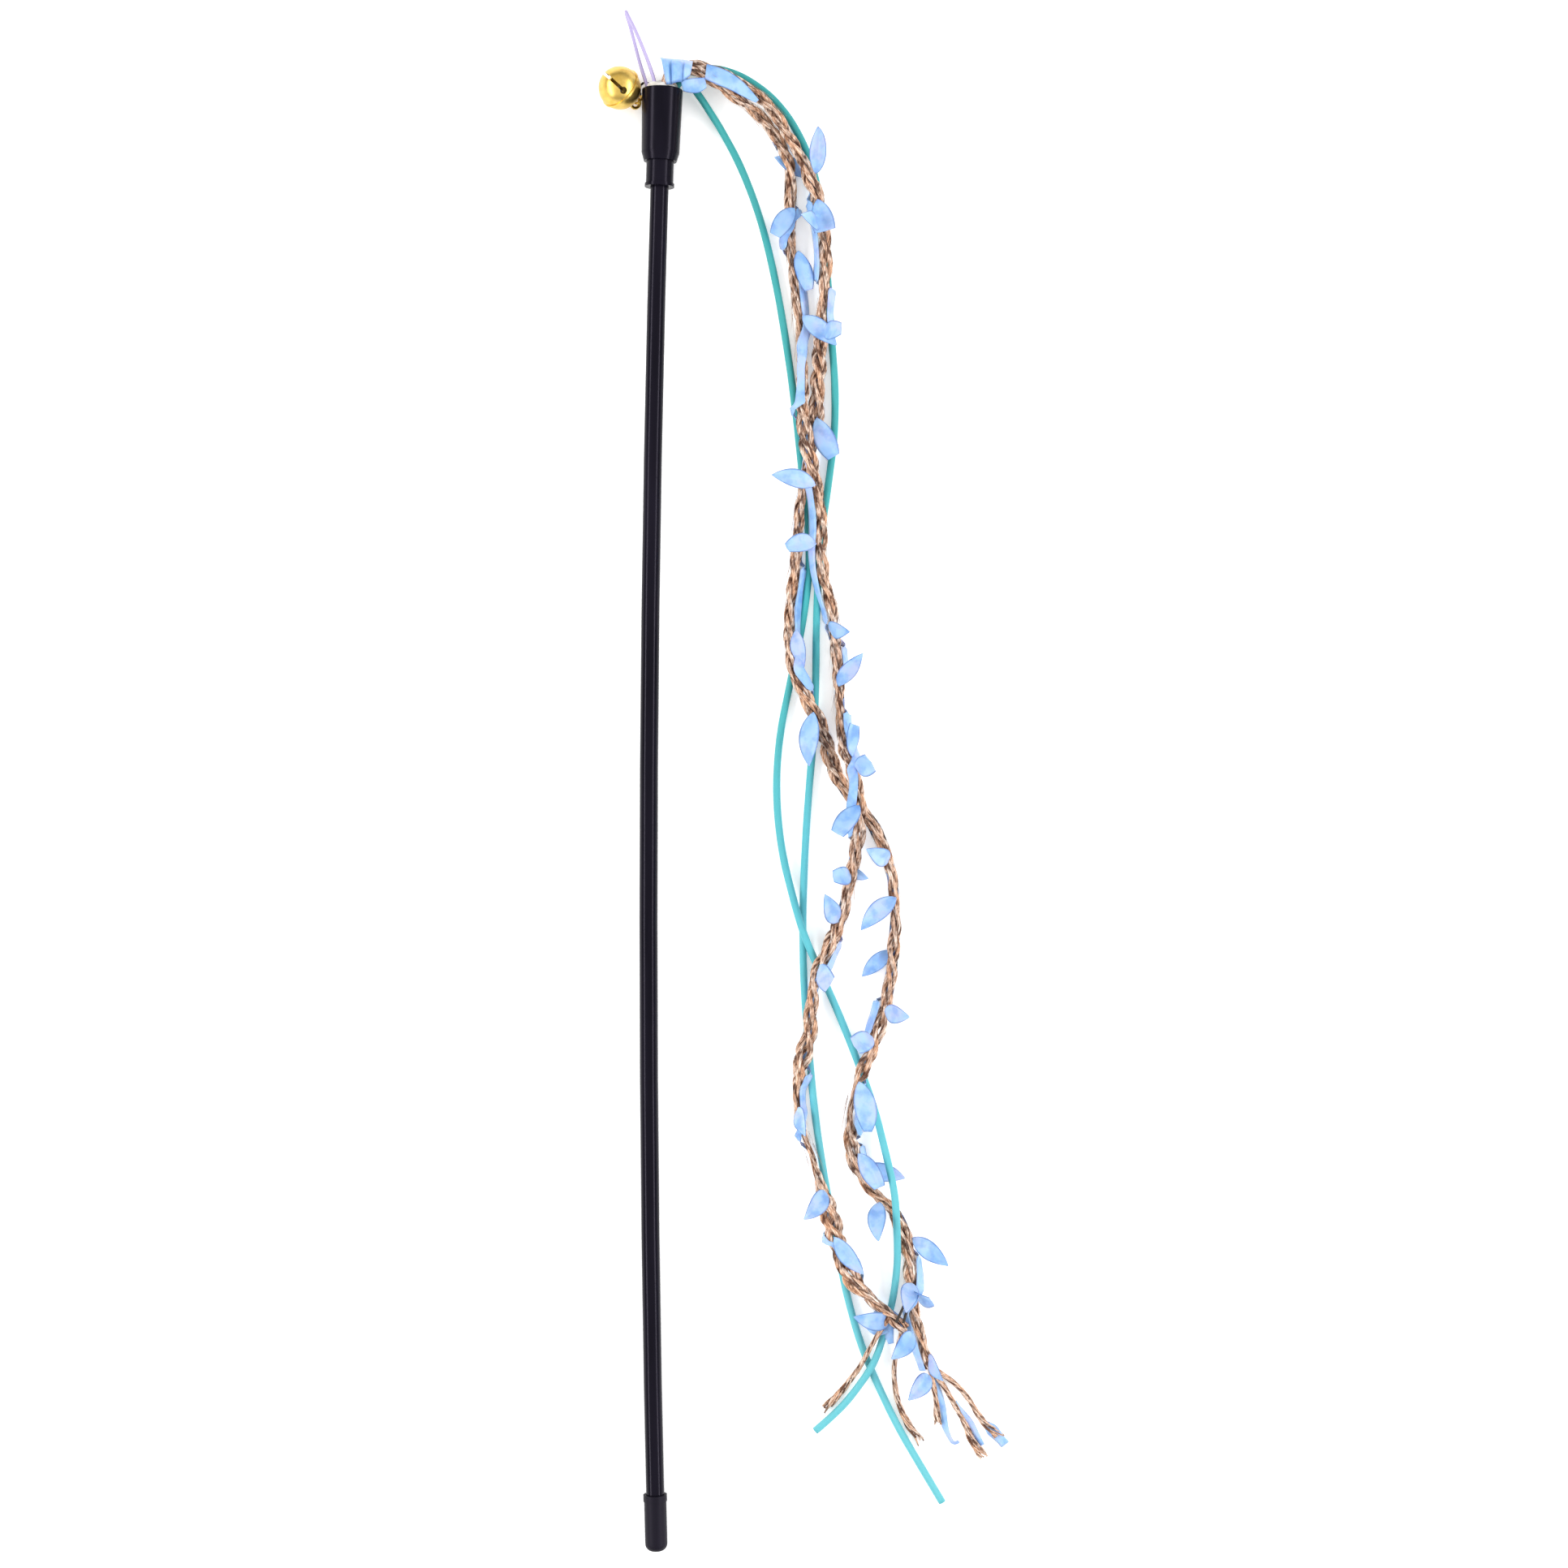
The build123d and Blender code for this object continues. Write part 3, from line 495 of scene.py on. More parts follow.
class Builder:
    """Collects vertices, faces and texture places of one mesh, in millimetres."""

    def __init__(self):
        self.vertices = []
        self.faces = []
        self.places = []

    def rings(self, rings, reach, shift=0):
        """A closed tube through rings of points, with U round it from shift and V along it."""
        start = len(self.vertices)
        sides = len(rings[0])
        for ring in rings:
            self.vertices.extend(ring)
        for row in range(len(rings) - 1):
            for column in range(sides):
                after = (column + 1) % sides
                low = start + row * sides
                high = low + sides
                self.faces.append((low + column, low + after, high + after, high + column))
                left, right = shift + column / sides, shift + (column + 1) / sides
                bottom, top = reach[row] / TEXTURE_UNIT, reach[row + 1] / TEXTURE_UNIT
                self.places.append(((left, bottom), (right, bottom), (right, top), (left, top)))
        for row, turn in ((0, -1), (len(rings) - 1, 1)):
            ends = [start + row * sides + column for column in range(sides)][::turn]
            self.faces.append(tuple(ends))
            self.places.append(tuple((shift + 0.5, reach[row] / TEXTURE_UNIT) for _ in ends))

    def grid(self, rows, places):
        """An open sheet through rows of points, with one texture place for each point."""
        start = len(self.vertices)
        columns = len(rows[0])
        for row in rows:
            self.vertices.extend(row)
        for row in range(len(rows) - 1):
            for column in range(columns - 1):
                corner = start + row * columns + column
                self.faces.append((corner, corner + 1, corner + columns + 1, corner + columns))
                low, high = places[row], places[row + 1]
                self.places.append((low[column], low[column + 1], high[column + 1], high[column]))

    def finish(self, name, material, thickness=None):
        mesh = bpy.data.meshes.new(name)
        mesh.from_pydata([tuple(vertex * MM) for vertex in self.vertices], [], self.faces)
        layer = mesh.uv_layers.new(name="UVMap")
        flat = [number for face in self.places for place in face for number in place]
        layer.data.foreach_set("uv", flat)
        if thickness:
            thicken(mesh, thickness * MM)
        mesh.polygons.foreach_set("use_smooth", [True] * len(mesh.polygons))
        mesh.materials.append(material)
        return add_object(name, mesh)


def thicken(mesh, thickness):
    shell = bmesh.new()
    shell.from_mesh(mesh)
    bmesh.ops.solidify(shell, geom=shell.faces[:], thickness=thickness)
    shell.to_mesh(mesh)
    shell.free()


def ring_at(line, index, side, up, radius, sides):
    """A ring of points round a place beside the line."""
    ring = []
    for number in range(sides):
        angle = 2 * math.pi * number / sides
        ring.append(line.offset(index, side + radius * math.cos(angle), up + radius * math.sin(angle)))
    return ring


# Materials

def fill_ramp(ramp, stops):
    """Gives a colour ramp its stops, each a place and a colour."""
    elements = ramp.color_ramp.elements
    while len(elements) < len(stops):
        elements.new(0.5)
    for element, (place, colour) in zip(elements, stops):
        element.position = place
        element.color = (*colour, 1)


class Paint:
    """A node material with one shader and short calls for the nodes that feed it."""

    def __init__(self, name, **values):
        self.material = bpy.data.materials.new(name)
        self.material.use_nodes = True
        self.tree = self.material.node_tree
        self.shader = self.tree.nodes["Principled BSDF"]
        for socket, value in values.items():
            self.shader.inputs[socket.replace("_", " ")].default_value = value

    def node(self, kind, inputs, **settings):
        """A new node with its settings, and with a link or a value at each of its inputs."""
        made = self.tree.nodes.new(kind)
        for name, value in settings.items():
            setattr(made, name, value)
        for name, value in inputs.items():
            if isinstance(value, bpy.types.NodeSocket):
                self.tree.links.new(value, made.inputs[name])
            else:
                made.inputs[name].default_value = value
        return made

    def stretched(self, place, scale):
        return self.node("ShaderNodeMapping", {"Vector": place, "Scale": scale}).outputs["Vector"]

    def surface_place(self, scale=(1, 1, 1)):
        """Texture places on the surface, stretched by scale along U and V."""
        return self.stretched(self.node("ShaderNodeUVMap", {}, uv_map="UVMap").outputs["UV"], scale)

    def object_place(self, scale=(1, 1, 1)):
        """Places in the object's own space, in metres times scale."""
        return self.stretched(self.node("ShaderNodeTexCoord", {}).outputs["Object"], scale)

    def part(self, place, axis):
        """One of the three numbers of a place."""
        return self.node("ShaderNodeSeparateXYZ", {"Vector": place}).outputs[axis]

    def noise(self, place, scale, detail, roughness=0.55):
        inputs = {"Vector": place, "Scale": scale, "Detail": detail, "Roughness": roughness}
        return self.node("ShaderNodeTexNoise", inputs).outputs["Fac"]

    def wave(self, place, scale, distortion=0.0):
        """Diagonal bands."""
        inputs = {"Vector": place, "Scale": scale, "Distortion": distortion}
        made = self.node("ShaderNodeTexWave", inputs, wave_type="BANDS", bands_direction="DIAGONAL")
        return made.outputs["Fac"]

    def ramp(self, factor, stops):
        made = self.node("ShaderNodeValToRGB", {"Fac": factor})
        fill_ramp(made, stops)
        return made.outputs["Color"]

    def multiply(self, first, second):
        inputs = {"Factor": 1.0, "A": first, "B": second}
        return self.node("ShaderNodeMix", inputs, data_type="RGBA", blend_type="MULTIPLY").outputs["Result"]

    def range(self, value, low, high):
        inputs = {"Value": value, "To Min": low, "To Max": high}
        return self.node("ShaderNodeMapRange", inputs).outputs["Result"]

    def colour(self, value):
        self.tree.links.new(value, self.shader.inputs["Base Color"])

    def roughness(self, value):
        self.tree.links.new(value, self.shader.inputs["Roughness"])

    def bump(self, height, strength, distance):
        inputs = {"Height": height, "Strength": strength, "Distance": distance * MM}
        made = self.node("ShaderNodeBump", inputs)
        self.tree.links.new(made.outputs["Normal"], self.shader.inputs["Normal"])


def jute_material():
    """Long fibres along each ply, from dark brown to pale tips, with patches of painted shade for the
    shadows between plies.
    """
    paint = Paint("jute", Roughness=0.85, Specular_IOR_Level=0.2)
    fibres = paint.noise(paint.surface_place((3.0, 1.8, 1.0)), scale=2.2, detail=6.0, roughness=0.65)
    tones = paint.ramp(
        fibres,
        [
            (0.33, (0.09, 0.045, 0.035)),
            (0.41, (0.36, 0.21, 0.14)),
            (0.49, (0.70, 0.50, 0.38)),
            (0.59, (0.97, 0.86, 0.77)),
        ],
    )
    # Painted shade: darker patches stand for the shadows in the gaps between the plies
    ply_shadow_patches = paint.noise(paint.surface_place((0.25, 1.3, 1.0)), scale=1.8, detail=3.0)
    shade = paint.ramp(ply_shadow_patches, [(0.40, (0.20, 0.15, 0.14)), (0.52, (1.0, 1.0, 1.0))])
    stretches = paint.noise(paint.surface_place((0.15, 0.5, 1.0)), scale=1.4, detail=2.0)
    cast = paint.ramp(stretches, [(0.4, (0.92, 0.70, 0.55)), (0.6, (1.0, 1.0, 1.0))])
    paint.colour(paint.multiply(paint.multiply(tones, shade), cast))
    paint.bump(fibres, strength=0.9, distance=0.35)
    return paint.material


def satin_material():
    """Pale blue satin with a fine weave, a lilac cast in places, darker towards its edges, and patches of
    painted fold shade.
    """
    paint = Paint(
        "satin",
        Roughness=0.45,
        Sheen_Weight=0.12,
        Sheen_Roughness=0.4,
        Subsurface_Weight=0.2,
        Subsurface_Scale=0.5 * MM,
    )
    cast = paint.noise(paint.object_place(), scale=110.0, detail=2.0)
    tones = paint.ramp(
        cast,
        [(0.33, (0.22, 0.42, 0.74)), (0.5, (0.33, 0.52, 0.80)), (0.66, (0.40, 0.50, 0.80))],
    )
    edge = paint.ramp(
        paint.part(paint.surface_place(), "X"),
        [(0.0, (0.30, 0.40, 0.58)), (0.09, (1, 1, 1)), (0.91, (1, 1, 1)), (1.0, (0.30, 0.40, 0.58))],
    )
    # Painted shade: noise patches darken the satin as if it were shaded in folds and creases
    fold_shade_mask = paint.noise(paint.object_place(), scale=260.0, detail=3.0)
    folds = paint.ramp(fold_shade_mask, [(0.36, (0.66, 0.76, 0.90)), (0.52, (1.0, 1.0, 1.0))])
    paint.colour(paint.multiply(paint.multiply(tones, edge), folds))
    weave = paint.wave(paint.object_place(), scale=900.0)
    paint.bump(weave, strength=0.15, distance=0.05)
    return paint.material


def string_material():
    """Turquoise elastic with a fine braid, paler towards its end."""
    paint = Paint("string_turquoise", Roughness=0.5)
    braid = paint.wave(paint.surface_place((6.0, 6.0, 1.0)), scale=2.6, distortion=0.6)
    tones = paint.ramp(
        paint.part(paint.surface_place((1.0, 0.025, 1.0)), "Y"),
        [
            (0.0, (0.02, 0.31, 0.31)),
            (0.42, (0.03, 0.36, 0.37)),
            (0.6, (0.08, 0.45, 0.52)),
            (1.0, (0.12, 0.49, 0.55)),
        ],
    )
    shade = paint.ramp(braid, [(0.0, (0.86, 0.9, 0.9)), (1.0, (1.04, 1.04, 1.04))])
    paint.colour(paint.multiply(tones, shade))
    paint.bump(braid, strength=0.35, distance=0.12)
    return paint.material


def black_material(name, roughness, gloss, grain_scale, grain_depth):
    """Black plastic or rubber: a little lighter where it is worn, with a fine grain."""
    paint = Paint(name, Specular_IOR_Level=gloss, Specular_Tint=(0.86, 0.78, 1.0, 1))
    wear = paint.noise(paint.object_place((1, 0.12, 1)), scale=160.0, detail=5.0)
    paint.colour(paint.ramp(wear, [(0.35, (0.002, 0.0018, 0.004)), (0.7, (0.006, 0.005, 0.010))]))
    paint.roughness(paint.range(wear, roughness - 0.06, roughness + 0.08))
    grain = paint.noise(paint.object_place(), scale=grain_scale, detail=3.0)
    paint.bump(grain, strength=0.25, distance=grain_depth)
    return paint.material


def gold_material():
    """Soft gold plating with faint pressing marks."""
    paint = Paint("bell_gold", Metallic=1.0)
    marks = paint.noise(paint.object_place(), scale=420.0, detail=3.0)
    paint.colour(paint.ramp(marks, [(0.3, (0.66, 0.42, 0.08)), (0.7, (0.84, 0.60, 0.17))]))
    paint.roughness(paint.range(marks, 0.26, 0.4))
    paint.bump(marks, strength=0.1, distance=0.06)
    return paint.material


def nylon_material():
    """Clear drawn line with a lilac cast."""
    paint = Paint("nylon", Transmission_Weight=0.2, IOR=1.4, Base_Color=(0.50, 0.43, 0.70, 1))
    drawn = paint.noise(paint.object_place(), scale=300.0, detail=2.0)
    paint.roughness(paint.range(drawn, 0.12, 0.3))
    return paint.material


def thread_material():
    """Dark twisted thread."""
    paint = Paint("thread", Roughness=0.7)
    twist = paint.wave(paint.surface_place((2.0, 8.0, 1.0)), scale=3.0)
    paint.colour(paint.ramp(twist, [(0.2, (0.010, 0.008, 0.007)), (0.8, (0.07, 0.05, 0.035))]))
    paint.bump(twist, strength=0.6, distance=0.1)
    return paint.material


def glue_material():
    """Cloudy set glue."""
    paint = Paint("glue", Roughness=0.35)
    cloud = paint.noise(paint.object_place(), scale=500.0, detail=4.0)
    paint.colour(paint.ramp(cloud, [(0.3, (0.56, 0.51, 0.44)), (0.7, (0.88, 0.86, 0.82))]))
    paint.bump(cloud, strength=0.4, distance=0.2)
    return paint.material


def steel_material():
    """Plain steel ball."""
    paint = Paint("pellet_steel", Metallic=1.0)
    brush = paint.noise(paint.object_place((1, 1, 6)), scale=400.0, detail=3.0)
    paint.colour(paint.ramp(brush, [(0.3, (0.42, 0.42, 0.43)), (0.7, (0.6, 0.6, 0.61))]))
    paint.roughness(paint.range(brush, 0.25, 0.4))
    return paint.material


jute = jute_material()
satin = satin_material()
turquoise = string_material()
gold = gold_material()
thread = thread_material()
glue = glue_material()


# Vines

def value_at(y, table):
    """The value for Y from a table of Y and value, eased from row to row."""
    for (high, before), (low, after) in zip(table, table[1:]):
        if y >= low:
            return before + (after - before) * ease(high - y, 0, high - low)
    return table[-1][1]


def make_rope(name, line, spreads):
    """Loose plies laid round each other, each of yarns with the opposite twist."""
    rope = Builder()
    for ply in range(PLIES):
        for yarn in range(YARNS):
            number = ply * YARNS + yarn
            rings = []
            for index, reach in enumerate(line.reach):
                point = line.points[index]
                spread = value_at(point.y, spreads)
                turn = 2 * math.pi * (reach / PLY_PITCH + ply / PLIES) + waver(reach, PLY_SWAY, ply)
                twist = 2 * math.pi * (yarn / YARNS - reach / YARN_PITCH) + waver(reach, YARN_SWAY, number)
                ply_offset = PLY_OFFSET * (1 + waver(reach, PLY_LOOSENESS, ply))
                yarn_offset = YARN_OFFSET * (1 + waver(reach, YARN_LOOSENESS, number))
                radius = YARN_RADIUS * math.sqrt(spread) * (1 + waver(reach, YARN_SWELL, number))
                side = spread * (ply_offset * math.cos(turn) + yarn_offset * math.cos(twist))
                up = max(ply_offset * math.sin(turn) + yarn_offset * math.sin(twist), radius - point.z)
                rings.append(ring_at(line, index, side, up, radius, YARN_SIDES))
            rope.rings(rings, line.reach, number)
    return rope.finish(name, jute)


def make_fibres(name, line, seed):
    """Loose fibres that stand off the rope."""
    chance = random.Random(seed)
    fuzz = Builder()
    last = len(line.points) - 1
    for _ in range(FIBRES):
        start = chance.randrange(FIBRE_MARGIN, last - FIBRE_STEPS[1])
        steps = chance.randint(*FIBRE_STEPS)
        angle = chance.uniform(0, 2 * math.pi)
        turn = chance.uniform(*FIBRE_TURN)
        rise = chance.uniform(*FIBRE_RISE)
        rings = []
        for step in range(steps + 1):
            share = step / steps
            away = ROPE_RADIUS * FIBRE_ROOT_SHARE + rise * share**FIBRE_RISE_POWER
            bearing = angle + turn * share
            side = away * math.cos(bearing)
            up = max(away * math.sin(bearing), -ROPE_RADIUS)
            radius = FIBRE_RADIUS * (1 - FIBRE_TAPER * share)
            rings.append(ring_at(line, min(start + step, last), side, up, radius, FIBRE_SIDES))
        fuzz.rings(rings, [ROPE_STEP * step for step in range(steps + 1)])
    return fuzz.finish(name, jute)


def make_ribbon(name, line, spreads, bearings, start_reach, ends, seed):
    """A satin ribbon that winds along the rope, gathered beneath thin rope, and its loose ends."""
    ribbon = Builder()
    rings = []
    used = []
    for index, reach in enumerate(line.reach):
        if reach < start_reach:
            continue
        y = line.points[index].y
        spread = value_at(y, spreads)
        turn = math.radians(value_at(y, bearings)) + waver(reach, RIBBON_SWAY, seed)
        slack = max(0.0, waver(reach, RIBBON_SLACK, seed))
        lift = ROPE_RADIUS + RIBBON_LIFT + RIBBON_SIDE_LIFT * abs(math.cos(turn)) + slack
        gathered = max(0.0, 1 - spread) * ease(-math.sin(turn), 0, 1)
        half = RIBBON_WIDTH / 2 * (1 + waver(reach, RIBBON_SWELL, seed)) * (1 - gathered)
        lean = turn + RIBBON_LEAN * math.cos(turn) * ease(math.sin(turn), *RIBBON_LEAN_RANGE)
        out = Vector((math.cos(turn) * math.sqrt(spread), math.sin(turn)))
        facing = Vector((math.cos(lean), math.sin(lean)))
        rings.append(ribbon_ring(line, index, out * lift, facing, half))
        used.append(reach)
    ribbon.rings(rings, used)
    for route, widths in ends:
        add_loose_end(ribbon, route, widths)
    return ribbon.finish(name, satin)


def ribbon_ring(line, index, middle, facing, half):
    """One section of a ribbon round a place beside the line, kept off the floor."""
    across = Vector((-facing.y, facing.x))
    floor = RIBBON_THICKNESS - line.points[index].z
    ring = []
    for along, face in RIBBON_SECTION:
        height = face * RIBBON_THICKNESS / 2 + RIBBON_CROWN * (1 - along * along)
        place = middle + across * (along * half) + facing * height
        ring.append(line.offset(index, place.x, max(place.y, floor)))
    return ring


def add_loose_end(ribbon, route, widths):
    """A short stretch of ribbon that lies free and twists a little."""
    line = Line(route, ROPE_STEP)
    first, middle, last = widths
    rings = []
    for index, reach in enumerate(line.reach):
        share = reach / line.reach[-1]
        width = first + (middle - first) * ease(share, 0, 0.5) + (last - middle) * ease(share, 0.5, 1)
        lean = math.pi / 2 + LOOSE_END_LEAN * math.sin(LOOSE_END_TWIST * share + first)
        facing = Vector((math.cos(lean), math.sin(lean)))
        rings.append(ribbon_ring(line, index, Vector((0, 0)), facing, width / 2))
    ribbon.rings(rings, line.reach)


def leaf_base(line, x, y, side):
    """The base of a leaf near X and Y: seated on the rope's upper half, or passed beneath the rope."""
    nearest = min(line.points, key=lambda point: (point.x - x) ** 2 + (point.y - y) ** 2)
    if side < 0:
        return Vector((x, y, max(nearest.z - LEAF_SEAT, LEAF_THICKNESS)))
    away = Vector((x - nearest.x, y - nearest.y, 0))
    away.length = min(away.length, LEAF_SEAT_REACH)
    rise = math.sqrt(LEAF_SEAT**2 - away.length_squared)
    return nearest + away + Vector((0, 0, rise))


def leaf_half_width(length, share):
    """Half of a leaf's width at a share of its whole length, widest near the middle."""
    outline = math.sin(math.pi * share**LEAF_WIDEST_POWER) ** LEAF_ROUND_POWER
    return length * LEAF_WIDTH_SHARE / 2 * max(LEAF_LEAST_SHARE, outline)


def make_leaf(leaves, line, place, chance):
    """One leaf that arches from its base, with a crease along its middle and a pointed or cut tip."""
    x, y, side, *angles, length, kept = place
    heading, tilt, roll = (math.radians(angle) for angle in angles)
    point = leaf_base(line, x, y, side)
    ahead = Vector((math.cos(heading), math.sin(heading), 0))
    beside = Vector((-math.sin(heading), math.cos(heading), 0))
    arch = chance.uniform(*LEAF_ARCH)
    crease = chance.uniform(*LEAF_CREASE)
    bend = chance.uniform(*LEAF_SIDE_BEND)
    grid = []
    spots = []
    for row in range(LEAF_ROWS):
        share = row / (LEAF_ROWS - 1)
        whole = share * kept
        pitch = tilt + arch * (1 - 2 * share)
        along = ahead * math.cos(pitch) + Vector((0, 0, math.sin(pitch)))
        along = (along + beside * bend * (2 * share - 1)).normalized()
        flat = (beside - along * beside.dot(along)).normalized()
        across = flat * math.cos(roll) + along.cross(flat) * math.sin(roll)
        facing = along.cross(across)
        half = leaf_half_width(length, whole)
        points = []
        spot = []
        for column in range(LEAF_COLUMNS):
            reach = 2 * column / (LEAF_COLUMNS - 1) - 1
            ripple = LEAF_RIPPLE * math.sin(LEAF_RIPPLE_ALONG * share + LEAF_RIPPLE_ACROSS * reach)
            height = crease * half * abs(reach) + ripple
            points.append(point + across * (half * reach) + facing * height)
            spot.append(((reach + 1) / 2, whole * length / TEXTURE_UNIT))
        grid.append(points)
        spots.append(spot)
        point = point + along * (length * kept / (LEAF_ROWS - 1))
    leaves.grid(grid, spots)


def make_leaves(name, line, places, seed):
    """Satin leaves of one vine."""
    chance = random.Random(seed)
    leaves = Builder()
    for place in places:
        make_leaf(leaves, line, place, chance)
    return leaves.finish(name, satin, LEAF_THICKNESS)


def make_tails(name, routes, seed):
    """Unlaid yarns at the end of a rope, which part towards their tips."""
    chance = random.Random(seed)
    tails = Builder()
    for route in routes:
        line = Line(route, TAIL_STEP)
        for yarn in range(TAIL_YARNS):
            phase = 2 * math.pi * yarn / TAIL_YARNS
            part = chance.uniform(*TAIL_PART)
            cut = chance.uniform(*TAIL_CUT)
            rings = []
            used = []
            for index, reach in enumerate(line.reach):
                share = reach / line.reach[-1]
                if share > cut:
                    break
                turn = phase + reach * TAIL_TWIST
                offset = TAIL_OFFSET + part * max(0.0, share - TAIL_PART_SHARE) ** TAIL_PART_POWER
                radius = TAIL_RADIUS * (1 - TAIL_TAPER * share)
                side = offset * math.cos(turn) + waver(reach, TAIL_WANDER, seed + yarn) * share
                up = max(offset * math.sin(turn), radius + TAIL_FLOOR_GAP - line.points[index].z)
                rings.append(ring_at(line, index, side, up, radius, TAIL_SIDES))
                used.append(reach)
            tails.rings(rings, used, yarn)
    return tails.finish(name, jute)


def bend_at_mouth(piece):
    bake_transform(piece)


def make_vine(name, route, spreads, bearings, ribbon_start, ribbon_ends, leaf_places, tail_routes, seed):
    """The rope of one vine with its fibres, ribbon, leaves and tails."""
    line = Line(route, ROPE_STEP)
    rope = make_rope(f"{name}_plies", line, spreads)
    fibres = make_fibres(f"{name}_fibres", line, seed)
    ribbon = make_ribbon(f"{name}_satin", line, spreads, bearings, ribbon_start, ribbon_ends, seed)
    leaves = make_leaves(f"{name}_leaf_set", line, leaf_places, seed)
    tails = make_tails(f"{name}_yarns", tail_routes, seed)
    for piece in (rope, fibres, ribbon):
        bend_at_mouth(piece)
    for piece in (leaves, tails):
        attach(piece, "streamers")
    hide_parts(f"{name}_root", f"{name}_rope")
    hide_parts(f"{name}_ribbon")
    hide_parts(f"{name}_leaves")
    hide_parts(f"{name}_tails")


def make_tie():
    tie = Builder()
    for route in TIE_ROUTES:
        line = Line(route, TIE_STEP)
        rings = [ring_at(line, index, 0, 0, TIE_RADIUS, THREAD_SIDES) for index in range(len(line.points))]
        tie.rings(rings, line.reach)
    piece = tie.finish("tie_thread", thread)
    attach(piece, "streamers")


make_vine(
    "vine_left",
    route=VINE_LEFT_ROUTE,
    spreads=VINE_LEFT_SPREAD,
    bearings=VINE_LEFT_RIBBON,
    ribbon_start=VINE_LEFT_RIBBON_START,
    ribbon_ends=VINE_LEFT_ENDS,
    leaf_places=VINE_LEFT_LEAVES,
    tail_routes=VINE_LEFT_TAILS,
    seed=11,
)
make_vine(
    "vine_right",
    route=VINE_RIGHT_ROUTE,
    spreads=VINE_RIGHT_SPREAD,
    bearings=VINE_RIGHT_RIBBON,
    ribbon_start=VINE_RIGHT_RIBBON_START,
    ribbon_ends=VINE_RIGHT_ENDS,
    leaf_places=VINE_RIGHT_LEAVES,
    tail_routes=VINE_RIGHT_TAILS,
    seed=23,
)
make_tie()


# Strings

def make_string(name, route, seed):
    line = Line(route, STRING_STEP)
    string = Builder()
    rings = []
    for index, reach in enumerate(line.reach):
        radius = STRING_RADIUS * (1 + waver(reach, STRING_SWELL, seed))
        rings.append(ring_at(line, index, 0, 0, radius, STRING_SIDES))
    string.rings(rings, line.reach)
    piece = string.finish(f"{name}_braid", turquoise)
    bend_at_mouth(piece)
    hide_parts(name, f"{name}_root")


make_string("string_left", STRING_LEFT_ROUTE, seed=31)
make_string("string_right", STRING_RIGHT_ROUTE, seed=37)


# Nylon loop, the bell's thread, satin and glue at the mouth

def make_loop():
    loop = nurbs_curve("nylon_line", LINE_LOOP_ROUTE)
    loop.data.bevel_depth = LOOP_RADIUS * MM
    loop.data.bevel_resolution = 4
    loop.data.use_fill_caps = True
    loop.data.materials.append(nylon_material())
    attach(loop, "wand")
    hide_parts("line_loop")


def make_tether():
    line = Line(TETHER_ROUTE, TETHER_STEP)
    tether = Builder()
    for ply in range(TETHER_PLIES):
        rings = []
        for index, reach in enumerate(line.reach):
            turn = 2 * math.pi * ply / TETHER_PLIES + reach * TETHER_TWIST
            side = TETHER_PLY_OFFSET * math.cos(turn)
            up = TETHER_PLY_OFFSET * math.sin(turn)
            rings.append(ring_at(line, index, side, up, TETHER_PLY_RADIUS, THREAD_SIDES))
        tether.rings(rings, line.reach)
    piece = tether.finish("tether_thread", thread)
    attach(piece, "wand")
    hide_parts("bell_tether")


def make_wrap():
    """Folds of satin over the strands at the mouth."""
    wrap = Builder()
    for rows in (COLLAR_ROWS, LIP_ROWS, ARCH_ROWS):
        finer = [even_points(smooth_points(row), WRAP_COLUMNS) for row in rows]
        columns = [even_points(smooth_points(column), WRAP_ROWS) for column in zip(*finer)]
        grid = list(zip(*columns))
        spots = []
        for row in range(WRAP_ROWS + 1):
            height = row * WRAP_TEXTURE_STEP
            spots.append([(column / WRAP_COLUMNS, height) for column in range(WRAP_COLUMNS + 1)])
        wrap.grid(grid, spots)
    piece = wrap.finish("satin_folds", satin, SATIN_THICKNESS)
    bend_at_mouth(piece)
    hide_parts("root_wrap")


def make_glue_mound():
    """Lumpy set glue round the strands where they leave the cup."""
    axis = MOUTH_AXIS.normalized()
    side = axis.cross(Vector((0, 0, 1))).normalized()
    up = side.cross(axis)
    rings = []
    for row in range(GLUE_ROWS):
        share = row / (GLUE_ROWS - 1)
        radius = GLUE_RADIUS * math.cos(math.pi / 2 * share**GLUE_EDGE_POWER) + GLUE_TIP_RADIUS
        ring = []
        for column in range(GLUE_COLUMNS):
            angle = 2 * math.pi * column / GLUE_COLUMNS
            out = Vector((math.cos(angle), math.sin(angle)))
            lump = GLUE_LUMPS * noise.noise(Vector((*(out * GLUE_LUMPS_ROUND), GLUE_LUMPS_UP * share)))
            height = GLUE_RISE * math.sin(math.pi / 2 * share) * (1 + lump) - GLUE_DEPTH * (1 - share)
            ring.append(MOUTH_PLACE + (side * out.x + up * out.y) * radius + axis * height)
        rings.append(ring)
    mound = Builder()
    mound.rings(rings, [row * GLUE_RISE for row in range(GLUE_ROWS)])
    piece = mound.finish("glue_mound", glue)
    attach(piece, "wand")


make_loop()
make_tether()
make_wrap()
make_glue_mound()


# Pieces that keep their CAD shapes

def dress(material, *names):
    for name in names:
        piece = nodes[name]
        piece.data.materials.clear()
        piece.data.materials.append(material)


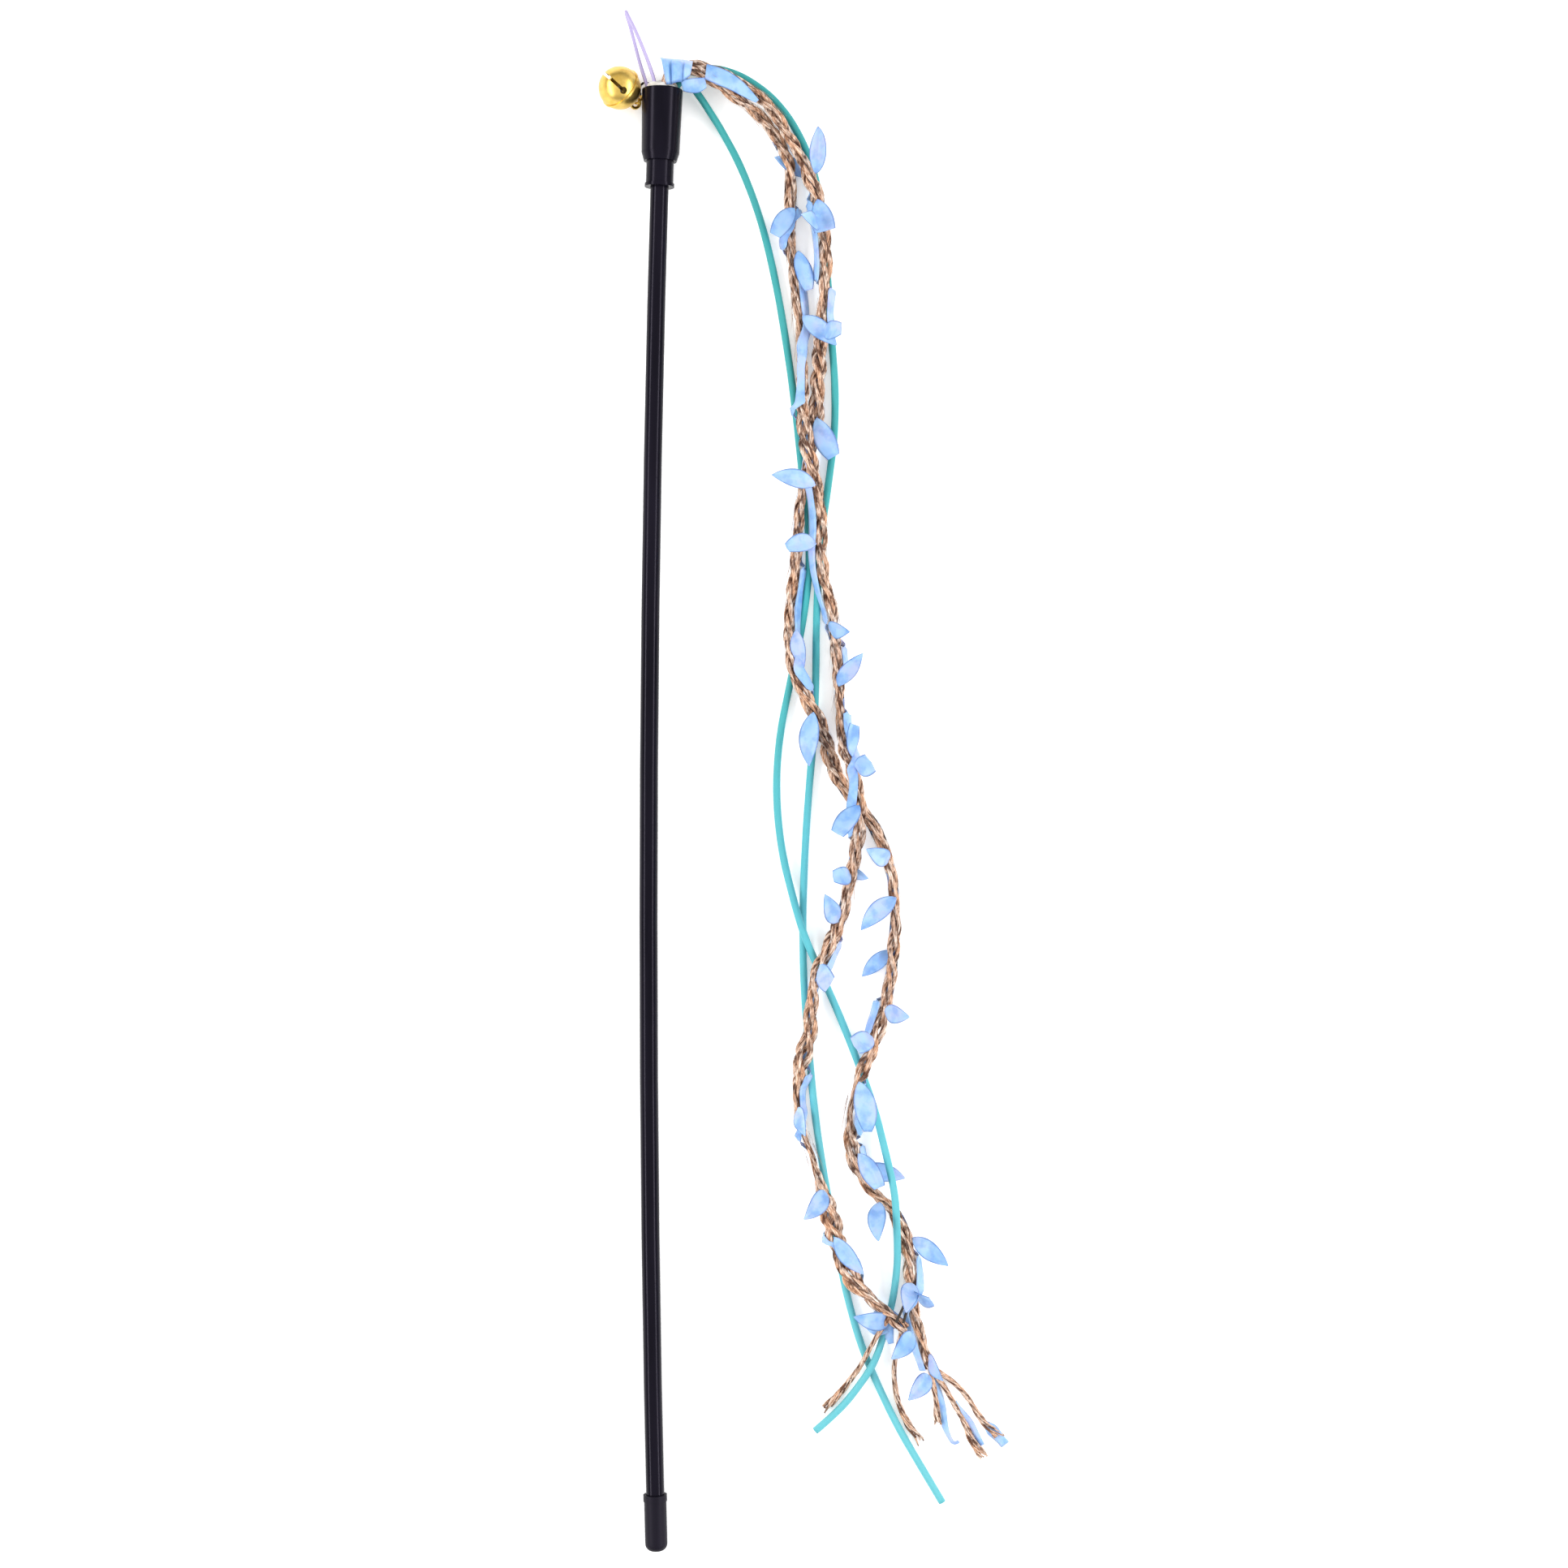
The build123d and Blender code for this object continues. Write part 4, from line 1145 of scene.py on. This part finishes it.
rod_black = black_material("rod_black", roughness=0.19, gloss=0.11, grain_scale=900.0, grain_depth=0.02)
cup_black = black_material("cup_black", roughness=0.23, gloss=0.10, grain_scale=700.0, grain_depth=0.015)
cap_rubber = black_material("cap_rubber", roughness=0.5, gloss=0.18, grain_scale=1500.0, grain_depth=0.05)
dress(rod_black, "rod")
dress(cup_black, "head_cup", "neck_ferrule")
dress(cap_rubber, "end_cap")
dress(gold, "bell_upper_shell", "bell_lower_shell", "bell_shank", "bell_ring")
dress(steel_material(), "bell_pellet")
dress(glue, "glue_plug")


# Floor and light

def make_floor():
    size = FLOOR_REACH * MM
    mesh = bpy.data.meshes.new("floor")
    corners = [(-size, -size, 0), (size, -size, 0), (size, size, 0), (-size, size, 0)]
    mesh.from_pydata(corners, [], [(0, 1, 2, 3)])
    paint = Paint(
        "floor",
        Roughness=0.9,
        Specular_IOR_Level=0.1,
        Emission_Strength=FLOOR_GLOW,
        Emission_Color=(1, 1, 1, 1),
    )
    tone = paint.noise(paint.object_place(), scale=3.0, detail=2.0)
    paint.colour(paint.ramp(tone, [(0.3, (0.90, 0.90, 0.90)), (0.7, (0.93, 0.93, 0.93))]))
    mesh.materials.append(paint.material)
    add_object("floor", mesh)


def make_light(name, place, aim):
    data = bpy.data.lights.new(name, "AREA")
    data.shape = "RECTANGLE"
    data.size, data.size_y = (side * MM for side in LIGHT_SIZE)
    data.energy = LIGHT_POWER
    light = add_object(name, data)
    light.location = Vector(place) * MM
    light.rotation_euler = (Vector(aim) - Vector(place)).to_track_quat("-Z", "Y").to_euler()


def make_world():
    """White overhead and at the horizon. The dark band between keeps the edges of black pieces black."""
    world = bpy.data.worlds.new("studio")
    world.use_nodes = True
    tree = world.node_tree
    background = tree.nodes["Background"]
    where = tree.nodes.new("ShaderNodeTexCoord")
    split = tree.nodes.new("ShaderNodeSeparateXYZ")
    ramp = tree.nodes.new("ShaderNodeValToRGB")
    fill_ramp(ramp, [(place, (level, level, level)) for place, level in SKY_LEVELS])
    tree.links.new(where.outputs["Generated"], split.inputs["Vector"])
    tree.links.new(split.outputs["Z"], ramp.inputs["Fac"])
    tree.links.new(ramp.outputs["Color"], background.inputs["Color"])
    background.inputs["Strength"].default_value = SKY_STRENGTH
    bpy.context.scene.world = world


make_floor()
for light_box in LIGHT_BOXES:
    make_light(*light_box)
make_world()
bpy.context.scene.view_settings.view_transform = "Standard"
